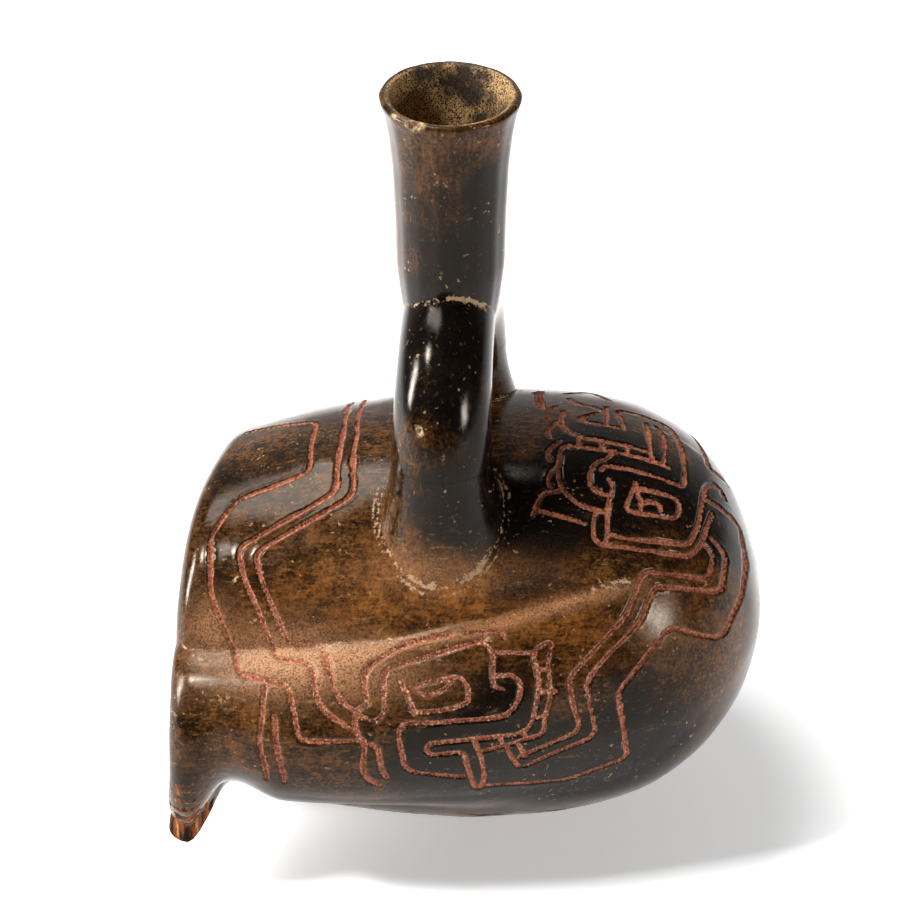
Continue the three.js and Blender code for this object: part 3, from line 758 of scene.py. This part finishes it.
def blobs(points, places, sharpness=2):
    """The sum of soft ellipsoids: the strength times exp(-d^sharpness), with d the distance from the
    centre in radii."""
    total = np.zeros(len(points))
    for centre, radii, strength in places:
        d = np.linalg.norm((points - centre) / radii, axis=1)
        total += strength * np.exp(-(d**sharpness))
    return total


# Places on the vessel as a centre, three radii and a strength
# Black smoke clouds, with two thin bands of painted shade along the crease above the lobe
SOOT_AND_SHADE = [
    ((9, -12, 186), (9, 12, 24), 1.0),
    ((14, -8, 205), (6, 12, 14), 0.6),
    ((0, -12, 163), (16, 14, 9), 0.7),
    ((-4, -30, 150), (15, 12, 15), 0.9),
    ((8, -36, 136), (5, 9, 24), 0.5),
    ((-2, -34, 128), (16, 14, 16), 0.45),
    ((4, -12, 172), (12, 12, 12), 0.5),
    ((-9, -10, 190), (8, 9, 34), 0.4),
    ((0, -40, 116), (16, 12, 18), 0.5),
    ((-76, -60, 40), (8, 16, 22), 0.4),
    ((0, -60, 34), (80, 24, 14), 0.5),
    # Painted shade: a thin dark band along the crease above the lobe, where shade falls in the valley
    ((0, -50, 92), (60, 6, 4), 0.35),
    ((42, -16, 112), (26, 28, 18), 1.2),
    ((26, -30, 108), (8, 12, 8), 0.6),
    ((68, -16, 98), (14, 20, 18), 0.8),
    ((84, -14, 76), (14, 34, 34), 0.7),
    ((8, -67, 54), (32, 12, 17), 1.2),
    ((10, -60, 74), (17, 9, 12), 0.8),
    ((40, -58, 52), (18, 14, 20), 0.7),
    ((60, -40, 46), (24, 30, 24), 0.4),
    ((-60, -8, 104), (9, 16, 8), 0.5),
    # Painted shade: the crease's dark valley further right
    ((24, -46, 97), (22, 4, 4), 0.5),
    ((20, 50, 70), (40, 26, 34), 0.8),
    ((-40, 40, 80), (20, 20, 20), 0.5),
    ((0, 28, 150), (16, 14, 20), 0.7),
]
GLOW = [
    ((31, -50, 90), (16, 12, 9), 1.0),
    ((-6, -49, 95), (34, 8, 8), 0.7),
    ((-30, -34, 103), (24, 20, 15), 0.25),
    ((-50, -50, 88), (16, 14, 10), 0.2),
    ((2, -46, 99), (24, 14, 12), 0.6),
    ((-72, -60, 34), (8, 12, 18), 0.6),
    ((-2, -14, 212), (16, 10, 10), 0.4),
    ((-60, 20, 60), (24, 40, 40), 0.5),
    ((50, 40, 90), (26, 20, 20), 0.6),
    ((70, -30, 92), (14, 14, 12), 0.4),
    ((76, -34, 66), (14, 24, 22), 0.6),
    ((-52, -62, 56), (12, 12, 16), 0.5),
]
# Pale dust mixed with painted highlights: the lobe's upper left and the right dome are lighter where
# they face the lights
DUST_AND_SHEEN = [
    ((-46, -56, 80), (22, 10, 9), 1.0),
    ((-20, -60, 78), (18, 8, 6), 0.5),
    ((-66, -46, 84), (6, 8, 8), 0.6),
    ((0, -44, 100), (26, 8, 6), 0.35),
    # Painted highlight: a pale spot where the right dome faces the right light
    ((58, -47, 84), (10, 8, 8), 0.25),
]
# Pale deposit that stuck in single spots
SPOTS = [
    ((-1.8, -41, 135.5), (1.6, 2, 3), 0.62),
    ((-7.9, -37.7, 142.8), (2.6, 2.6, 3), 0.5),
    ((-36, -53.4, 81.6), (9, 3, 2), 0.4),
    ((8, -55.4, 86.7), (5, 3, 1.5), 0.5),
    ((43, -42.5, 97), (6, 3, 2), 0.55),
    ((-69, -49, 76.5), (2.5, 3, 3), 0.4),
    ((-58.3, -37.9, 93.5), (2, 2, 2), 0.45),
]
# Where light scratches gather
SCUFFS = [
    ((0, -56, 30), (70, 30, 12), 0.6),
    ((26, -44, 99), (30, 10, 9), 0.8),
    ((-14, -40, 102), (36, 16, 12), 0.4),
    ((-40, -58, 70), (30, 12, 14), 0.6),
    ((20, -62, 60), (36, 14, 20), 0.35),
    ((-72, -58, 50), (10, 16, 30), 0.5),
    ((62, -30, 74), (22, 22, 30), 0.4),
    ((-78, 6, 58), (7, 54, 50), 1.0),
    ((-30, -54, 92), (30, 10, 10), 0.5),
]
# Where pale grains fill the strokes
GRAINS = [
    ((5, -66, 74), (52, 24, 20), 0.9),
    ((-50, -30, 98), (24, 30, 20), 0.35),
]


def tube_gap(points):
    """The distance outside the stirrup's tube, from its line of two legs and an arch."""
    c, s = math.cos(math.radians(STIRRUP_TURN)), math.sin(math.radians(STIRRUP_TURN))
    x = points[:, 0] * c - points[:, 1] * s
    y = points[:, 0] * s + points[:, 1] * c
    r = LEG_SPACING / 2
    up = points[:, 2] - ARCH_SPRING
    across = np.where(up > 0, np.hypot(y, up) - r, np.abs(y) - r)
    return np.hypot(x, across) - TUBE_R


MASKS = ("pigment", "crust", "soot_and_shade", "glow", "dust_and_sheen", "scuffs", "grains", "wear", "broken", "inner")
MASKS += ("upright",)


def masks(points):
    """What the material reads at each point, by the names in MASKS."""
    x, angle, r = body_place(points)
    outside = outer_radius(np.clip(x, LEFT_X, RIGHT_X), angle)
    on_body = (np.abs(r - outside) < 2) | (np.abs(x - LEFT_X) < 2.5)
    tube = tube_gap(points)
    turned = np.hypot(points[:, 0], points[:, 1])
    spout = turned - spout_radius(points[:, 2])
    high = points[:, 2] > ARCH_TOP - 12
    gap, half = stroke_gap(points, x, angle, outside)
    pigment = np.where(on_body & ~high, smooth((half + 0.15 - gap) / 0.6), 0)
    line = np.radians(angle - crease_angle(x)) * r
    fading = smooth((LOBE_GONE_X - x) / 25) * on_body
    crease = np.exp(-(((line + 1.3) / 1.2) ** 2)) * fading
    # Painted highlight mixed with pale dust: a light band just below the crease, where the lobe's top
    # faces the lights
    lip = np.exp(-(((line + 2.6 + 0.8 * ripple(points, 24, 9)) / 1.9) ** 2))
    lip *= fading * smooth((x + 58) / 20)
    beyond = tube - COLLAR_OUT
    root = sum(strength * np.exp(-(((beyond - at) / half) ** 2)) for at, half, strength in RINGS)
    root = np.where((tube < 6) & on_body, root, 0)
    seam = ARCH_SPRING + math.sqrt((LEG_SPACING / 2 + TUBE_R) ** 2 - FOOT_R**2)
    drop = seam + 0.6 - 0.055 * points[:, 0] ** 2 - points[:, 2]
    joint = np.exp(-((drop / 0.9) ** 2)) + 0.6 * np.exp(-(((drop - 2.2) / 0.7) ** 2))
    joint = np.where((np.minimum(tube, spout) < 0.8) & (turned < 15) & (turned > 9), joint, 0)
    broken = blobs(points, [(centre, np.add(radii, 0.15), 1.0) for centre, radii in NICKS], 6)
    tip = tongue_shape(angle) * smooth((r - LEFT_R - 4) / 8) * smooth((LEFT_X + 14 - x) / 8)
    ground = smooth((26 - points[:, 2]) / 24)
    inner = np.where(high, smooth((-spout - 1.2) / 0.8), 0)
    spots = blobs(points, SPOTS)
    return {
        "pigment": pigment,
        "crust": np.clip(0.35 * crease + 0.9 * root + joint + spots, 0, 1),
        # Smoke clouds, and painted shade along the crease
        "soot_and_shade": np.clip(blobs(points, SOOT_AND_SHADE), 0, 1.2),
        "glow": np.clip(blobs(points, GLOW), 0, 1.2),
        # Pale dust and painted highlights: the blobs and the light band below the crease
        "dust_and_sheen": np.clip(blobs(points, DUST_AND_SHEEN) + 0.85 * lip, 0, 1.2) * (1 - inner),
        "scuffs": np.clip(blobs(points, SCUFFS), 0, 1) * (1 - inner),
        "grains": np.clip(0.25 + blobs(points, GRAINS), 0, 1),
        "wear": np.clip(tip + ground, 0, 1),
        "broken": broken,
        "inner": inner,
        "upright": np.where(on_body, 0, 1),
    }


def write_masks(mesh):
    """Keeps each mask as an attribute of the mesh's points."""
    for name, values in masks(positions(mesh)).items():
        layer = mesh.attributes.new(name, "FLOAT", "POINT")
        layer.data.foreach_set("value", values.astype(np.float32))


# Materials


def linear(code):
    """An sRGB hex colour as linear red, green, blue and alpha."""
    parts = [int(code[i : i + 2], 16) / 255 for i in (1, 3, 5)]
    return (*[c / 12.92 if c <= 0.04045 else ((c + 0.055) / 1.055) ** 2.4 for c in parts], 1)


def add(tree, kind, inputs, **settings):
    """Adds a node with its settings and gives its outputs. An input is a socket to link, an sRGB hex
    colour, or a value to set."""
    made = tree.nodes.new("ShaderNode" + kind)
    for key, value in settings.items():
        setattr(made, key, value)
    for key, value in inputs.items():
        if isinstance(value, bpy.types.NodeSocket):
            tree.links.new(value, made.inputs[key])
        else:
            made.inputs[key].default_value = linear(value) if isinstance(value, str) else value
    return made.outputs


# Settings of the nodes that a material has many of
RAMP = {"interpolation_type": "SMOOTHSTEP"}
PAINT = {"data_type": "RGBA"}
TIMES = {"operation": "MULTIPLY", "use_clamp": True}
PLUS = {"operation": "ADD", "use_clamp": True}
LARGER = {"operation": "MAXIMUM", "use_clamp": True}

# The clay's patterns: size in millimetres, detail, roughness, and the way that they are stretched
PATTERNS = {
    "clouds": (34, 4, 0.6, "even"),
    "stains": (11, 5, 0.7, "even"),
    "mottle": (5, 6, 0.72, "even"),
    "grain": (0.9, 2, 0.6, "even"),
    "dust grain": (0.55, 3, 0.7, "even"),
    "strokes": (1.0, 5, 0.75, "rubbed"),
    "scars": (2.6, 3, 0.6, "rubbed"),
    "scratches": (2.6, 6, 0.8, "slanted"),
    "sand": (1.5, 1, 0.6, "even"),
    "sandy areas": (9, 3, 0.6, "even"),
    "worn streaks": (2.4, 4, 0.7, "upward"),
    "inner specks": (0.45, 2, 0.7, "even"),
    "inner patches": (14, 4, 0.7, "even"),
    "ragged edge": (0.6, 2, 0.6, "even"),
    "pigment mottle": (0.9, 3, 0.7, "even"),
    "pigment grains": (0.7, 2, 0.7, "even"),
    "crust areas": (14, 2, 0.6, "even"),
    "crust crumbs": (1.4, 4, 0.75, "even"),
    "paste mottle": (1.0, 3, 0.6, "even"),
}


def layered(tree, colour, rows):
    """Lays colours over one another. A row holds a pattern, its values where the colour starts and
    where it is full, the colour's largest share, and the colour."""
    for pattern, start, full, most, over in rows:
        share = add(tree, "MapRange", {0: pattern, 1: start, 2: full, 4: most}, **RAMP)[0]
        colour = add(tree, "Mix", {0: share, 6: colour, 7: over}, **PAINT)[2]
    return colour


def clay_colour(tree, noise, mask):
    """The burnished surface: brown clay with stains and orange glow, fine light and dark strokes along
    the rubbing, black smoke clouds with painted shade along the crease, pale dust with painted
    highlights, scratches, and specks of sand. Gives its colour, and the share that the dust and the
    painted highlights cover."""
    coarse = add(tree, "Math", {0: noise["mottle"], 1: 0.55}, **TIMES)[0]
    fine = add(tree, "Math", {0: noise["grain"], 1: 0.45}, **TIMES)[0]
    uneven = add(tree, "Math", {0: coarse, 1: fine}, **PLUS)[0]
    brown = (uneven, 0.4, 0.62, 1, "#4a2d14")
    cloudy = (noise["clouds"], 0.4, 0.66, 0.5, "#100904")
    stained = (noise["stains"], 0.5, 0.64, 0.6, "#0b0603")
    colour = layered(tree, "#090502", [brown, cloudy, stained])

    mottled = add(tree, "MapRange", {0: uneven, 1: 0.38, 2: 0.6, 3: 0.25}, **RAMP)[0]
    clear = add(tree, "MapRange", {0: noise["stains"], 1: 0.42, 2: 0.6, 3: 1.0, 4: 0.35}, **RAMP)[0]
    glow = mask["glow"]
    for share in (mottled, clear, 0.8):
        glow = add(tree, "Math", {0: glow, 1: share}, **TIMES)[0]
    colour = add(tree, "Mix", {0: glow, 6: colour, 7: "#75461b"}, **PAINT)[2]

    # Smoke clouds, and the painted shade along the crease, laid in near black
    drift = add(tree, "MapRange", {0: noise["clouds"], 1: 0.35, 2: 0.65, 3: -0.3, 4: 0.3}, **RAMP)[0]
    smoke = add(tree, "Math", {0: mask["soot_and_shade"], 1: drift}, **PLUS)[0]
    dark = (noise["strokes"], 0.52, 0.64, 0.7, "#0a0603")
    pale = (noise["strokes"], 0.46, 0.34, 0.45, "#6b4822")
    colour = layered(tree, colour, [dark, pale, (smoke, 0.3, 0.8, 0.93, "#060505")])

    powder = {0: noise["dust grain"], 1: 0.36, 2: 0.6, 3: 0.2, 4: 0.9}
    dust_and_sheen_share = add(tree, "MapRange", powder, **RAMP)[0]
    dust_and_sheen_share = add(tree, "Math", {0: mask["dust_and_sheen"], 1: dust_and_sheen_share}, **TIMES)[0]
    # Pale dust and painted highlight: the same pale colour stands in for the lights' reflection on the
    # lobe's top
    colour = add(tree, "Mix", {0: dust_and_sheen_share, 6: colour, 7: "#93694a"}, **PAINT)[2]

    scratched = add(tree, "MapRange", {0: noise["scratches"], 1: 0.56, 2: 0.64}, **RAMP)[0]
    scratched = add(tree, "Math", {0: mask["scuffs"], 1: scratched}, **TIMES)[0]
    broken = add(tree, "MapRange", {0: noise["grain"], 1: 0.4, 2: 0.6, 3: 0.3}, **RAMP)[0]
    scratched = add(tree, "Math", {0: scratched, 1: broken}, **TIMES)[0]
    colour = add(tree, "Mix", {0: scratched, 6: colour, 7: "#86643f"}, **PAINT)[2]

    specks = add(tree, "MapRange", {0: noise["sand"], 1: 0.66, 2: 0.72}, **RAMP)[0]
    gathered = add(tree, "MapRange", {0: noise["sandy areas"], 1: 0.5, 2: 0.62, 3: 0.1}, **RAMP)[0]
    specks = add(tree, "Math", {0: specks, 1: gathered}, **TIMES)[0]
    specks = add(tree, "Math", {0: specks, 1: 0.7}, **TIMES)[0]
    return add(tree, "Mix", {0: specks, 6: colour, 7: "#8a6c4a"}, **PAINT)[2], dust_and_sheen_share


def worn_colour(tree, noise):
    """Clay that wear laid bare, dark with orange and pale streaks that run up and down."""
    orange = (noise["worn streaks"], 0.44, 0.56, 1, "#6b3613")
    pale = (noise["worn streaks"], 0.58, 0.66, 0.9, "#a07c54")
    return layered(tree, "#0b0704", [orange, pale])


def inner_colour(tree, noise):
    """The inside of the spout: tan deposit in fine specks over black, with grey black patches."""
    tan = (noise["inner specks"], 0.42, 0.56, 1, "#a8855a")
    patches = (noise["inner patches"], 0.46, 0.64, 0.9, "#1a1918")
    return layered(tree, "#0f0c0a", [tan, patches])


def pigment_colour(tree, noise, mask):
    """Iron red pigment, mottled, with pale grains where the mask has them."""
    red = layered(tree, "#54281b", [(noise["pigment mottle"], 0.36, 0.64, 1, "#95583f")])
    grains = add(tree, "MapRange", {0: noise["pigment grains"], 1: 0.52, 2: 0.66, 4: 0.8}, **RAMP)[0]
    grains = add(tree, "Math", {0: grains, 1: mask["grains"]}, **TIMES)[0]
    return add(tree, "Mix", {0: grains, 6: red, 7: "#d0a788"}, **PAINT)[2]


def earthenware():
    """Smoke-fired earthenware, rubbed with a pebble when leather hard: a dark gloss over brown clay
    that the smoke blackened in clouds, with fine strokes along the rubbing, a grainy mottle, pale specks
    of sand, red pigment in the incised lines, and pale burial crust in the creases and joints. Painted
    shade darkens the crease above the lobe, and painted highlights lighten the lobe's top and the right
    dome."""
    material = bpy.data.materials.new("burnished_smoke_fired_earthenware")
    material.use_nodes = True
    tree = material.node_tree
    tree.nodes.clear()
    mask = {name: add(tree, "Attribute", {}, attribute_name=name)["Fac"] for name in MASKS}
    place = add(tree, "TexCoord", {})["Object"]
    along = add(tree, "Mapping", {"Vector": place, "Scale": (0.2, 1, 1)})[0]
    upward = add(tree, "Mapping", {"Vector": place, "Scale": (1, 1, 0.12)})[0]
    slant = {"Vector": place, "Rotation": (0.4, 0.5, 0.9), "Scale": (0.25, 1, 1)}
    slanted = add(tree, "Mapping", slant)[0]
    rubbed = add(tree, "Mix", {0: mask["upright"], 4: along, 5: upward}, data_type="VECTOR")[1]
    ways = {"even": place, "rubbed": rubbed, "upward": upward, "slanted": slanted}
    noise = {}
    for name, (size, detail, rough, way) in PATTERNS.items():
        inputs = {"Vector": ways[way], "Scale": 1000 / size, "Detail": detail, "Roughness": rough}
        noise[name] = add(tree, "TexNoise", inputs)["Fac"]

    colour, dust_and_sheen_share = clay_colour(tree, noise, mask)
    scarred = {0: noise["scars"], 1: 0.35, 2: 0.65, 3: -0.35, 4: 0.35}
    worn = {0: mask["wear"], 1: add(tree, "MapRange", scarred, **RAMP)[0]}
    worn = add(tree, "Math", worn, **PLUS)[0]
    worn = add(tree, "MapRange", {0: worn, 1: 0.4, 2: 0.7}, **RAMP)[0]
    colour = add(tree, "Mix", {0: worn, 6: colour, 7: worn_colour(tree, noise)}, **PAINT)[2]
    colour = add(tree, "Mix", {0: mask["inner"], 6: colour, 7: inner_colour(tree, noise)}, **PAINT)[2]

    ragged = {0: noise["ragged edge"], 1: 0.3, 2: 0.7, 3: -0.2, 4: 0.2}
    painted = {0: mask["pigment"], 1: add(tree, "MapRange", ragged, **RAMP)[0]}
    painted = add(tree, "Math", painted, **PLUS)[0]
    painted = add(tree, "MapRange", {0: painted, 1: 0.4, 2: 0.6}, **RAMP)[0]
    red = pigment_colour(tree, noise, mask)
    colour = add(tree, "Mix", {0: painted, 6: colour, 7: red}, **PAINT)[2]

    areas = add(tree, "MapRange", {0: noise["crust areas"], 1: 0.35, 2: 0.6, 3: 0.45}, **RAMP)[0]
    crust = add(tree, "Math", {0: mask["crust"], 1: areas}, **TIMES)[0]
    crumbs = {0: noise["crust crumbs"], 1: 0.35, 2: 0.65, 3: -0.35, 4: 0.35}
    crust = add(tree, "Math", {0: crust, 1: add(tree, "MapRange", crumbs, **RAMP)[0]}, **PLUS)[0]
    crust = add(tree, "MapRange", {0: crust, 1: 0.45, 2: 0.68}, **RAMP)[0]
    chalky = add(tree, "Mix", {0: noise["grain"], 6: "#6b5138", 7: "#a78e70"}, **PAINT)[2]
    colour = add(tree, "Mix", {0: crust, 6: colour, 7: chalky}, **PAINT)[2]

    paste = layered(tree, "#6d5134", [(noise["paste mottle"], 0.4, 0.6, 1, "#bfa684")])
    colour = add(tree, "Mix", {0: mask["broken"], 6: colour, 7: paste}, **PAINT)[2]

    dull = add(tree, "Math", {0: mask["inner"], 1: 0.7}, **TIMES)[0]
    for share in (painted, crust, worn, mask["broken"]):
        dull = add(tree, "Math", {0: dull, 1: share}, **LARGER)[0]

    gloss = add(tree, "MapRange", {0: noise["mottle"], 1: 0.35, 2: 0.65, 3: 0.08, 4: 0.17}, **RAMP)[0]
    dust_and_sheen_rough = add(tree, "Math", {0: dust_and_sheen_share, 1: 0.25}, **TIMES)[0]
    stroked = {0: noise["strokes"], 1: 0.35, 2: 0.65, 3: -0.03, 4: 0.05}
    stroked = add(tree, "MapRange", stroked, **RAMP)[0]
    scuffed = add(tree, "Math", {0: mask["scuffs"], 1: 0.1}, **TIMES)[0]
    for share in (dust_and_sheen_rough, stroked, scuffed):
        gloss = add(tree, "Math", {0: gloss, 1: share}, **PLUS)[0]
    roughness = add(tree, "Mix", {0: dull, 2: gloss, 3: 0.82})[0]

    strokes = add(tree, "Math", {0: noise["strokes"], 1: 0.4}, **TIMES)[0]
    mottle = add(tree, "Math", {0: noise["mottle"], 1: 0.25}, **TIMES)[0]
    height = add(tree, "Math", {0: strokes, 1: mottle}, **PLUS)[0]
    gritty = add(tree, "MapRange", {0: noise["grain"], 1: 0.3, 2: 0.7}, **RAMP)[0]
    gritty = add(tree, "Math", {0: dull, 1: gritty}, **TIMES)[0]
    gritty = add(tree, "Math", {0: gritty, 1: 0.6}, **TIMES)[0]
    height = add(tree, "Math", {0: height, 1: gritty}, **PLUS)[0]
    relief = add(tree, "Bump", {"Height": height, "Strength": 0.2, "Distance": 0.0003})[0]
    surface = {
        "Base Color": colour,
        "Roughness": roughness,
        "Normal": relief,
        "Specular IOR Level": 0.13,
        "Specular Tint": "#fff0df",
    }
    add(tree, "OutputMaterial", {"Surface": add(tree, "BsdfPrincipled", surface)[0]})
    return material


def studio_floor():
    """Matt white acrylic, lit faintly from below: no grain at this distance, and soft pale shadows."""
    material = bpy.data.materials.new("matt_white_acrylic")
    material.use_nodes = True
    tree = material.node_tree
    tree.nodes.clear()
    place = add(tree, "TexCoord", {})["Object"]
    haze = add(tree, "TexNoise", {"Vector": place, "Scale": 40.0})["Fac"]
    tint = add(tree, "Mix", {0: haze, 6: "#eeeeee", 7: "#f2f2f2"}, **PAINT)[2]
    surface = {"Base Color": tint, "Roughness": 0.9, "Emission Color": "#ffffff"}
    surface["Emission Strength"] = 0.3
    add(tree, "OutputMaterial", {"Surface": add(tree, "BsdfPrincipled", surface)[0]})
    return material


def camera():
    """The photograph's view: from the front, 35 degrees above the horizon, through a long lens."""
    distance, height, raised = 0.9, 0.110, math.radians(35)
    lens = bpy.data.cameras.new("view")
    lens.lens = 129.6
    lens.sensor_width = 36
    made = bpy.data.objects.new("view", lens)
    made.location = (0, -distance * math.cos(raised), height + distance * math.sin(raised))
    made.rotation_euler = (math.pi / 2 - raised, 0, 0)
    bpy.context.scene.collection.objects.link(made)
    bpy.context.scene.camera = made


def softbox(name, place, target, size, power):
    """An area light of a size in metres that faces a target."""
    light = bpy.data.lights.new(name, "AREA")
    light.shape = "RECTANGLE"
    light.size, light.size_y = size
    light.energy = power
    made = bpy.data.objects.new(name, light)
    made.location = place
    made.rotation_euler = (Vector(target) - Vector(place)).to_track_quat("-Z", "Y").to_euler()
    bpy.context.scene.collection.objects.link(made)


def light_tent():
    """A dark studio with a white back: the light rises smoothly with the direction's y."""
    world = bpy.data.worlds.new("light_tent")
    world.use_nodes = True
    tree = world.node_tree
    tree.nodes.clear()
    way = add(tree, "TexCoord", {})["Generated"]
    back = add(tree, "VectorMath", {0: way, 1: (0, 1, 0)}, operation="DOT_PRODUCT")["Value"]
    strength = add(tree, "MapRange", {0: back, 1: 0.3, 2: 0.95, 3: 0.05, 4: 0.85}, **RAMP)[0]
    light = add(tree, "Background", {"Color": "#ffffff", "Strength": strength})[0]
    add(tree, "OutputWorld", {"Surface": light})
    return world


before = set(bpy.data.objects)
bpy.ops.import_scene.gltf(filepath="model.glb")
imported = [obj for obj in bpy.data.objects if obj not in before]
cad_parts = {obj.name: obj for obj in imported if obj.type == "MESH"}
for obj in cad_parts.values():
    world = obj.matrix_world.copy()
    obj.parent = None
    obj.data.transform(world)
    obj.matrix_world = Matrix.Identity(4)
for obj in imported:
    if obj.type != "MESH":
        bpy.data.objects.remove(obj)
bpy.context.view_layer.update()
vessel = build_vessel()
write_masks(vessel.data)
vessel.data.materials.clear()
vessel.data.materials.append(earthenware())
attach(vessel, "root")
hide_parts(NODE)

floor_half = 3000.0
corners = np.array([[-1, -1, 0], [1, -1, 0], [1, 1, 0], [-1, 1, 0]]) * floor_half
floor = mesh_object("floor", corners, np.array([[0, 1, 2], [0, 2, 3]]))
floor.data.materials.append(studio_floor())

camera()
softbox("high_softbox", (-0.78, -0.3, 1.08), (-0.05, 0, 0.1), (0.13, 0.13), 15)
softbox("top_softbox", (-0.36, 0.3, 1.1), (0, 0, 0.08), (0.6, 0.6), 16)
softbox("left_strip", (-0.8, -0.06, 0.34), (0, 0, 0.15), (0.11, 0.34), 12)
softbox("right_softbox", (0.95, -0.68, 0.34), (0, 0, 0.1), (0.25, 0.25), 9)
bpy.context.scene.world = light_tent()
bpy.context.scene.view_settings.view_transform = "Standard"
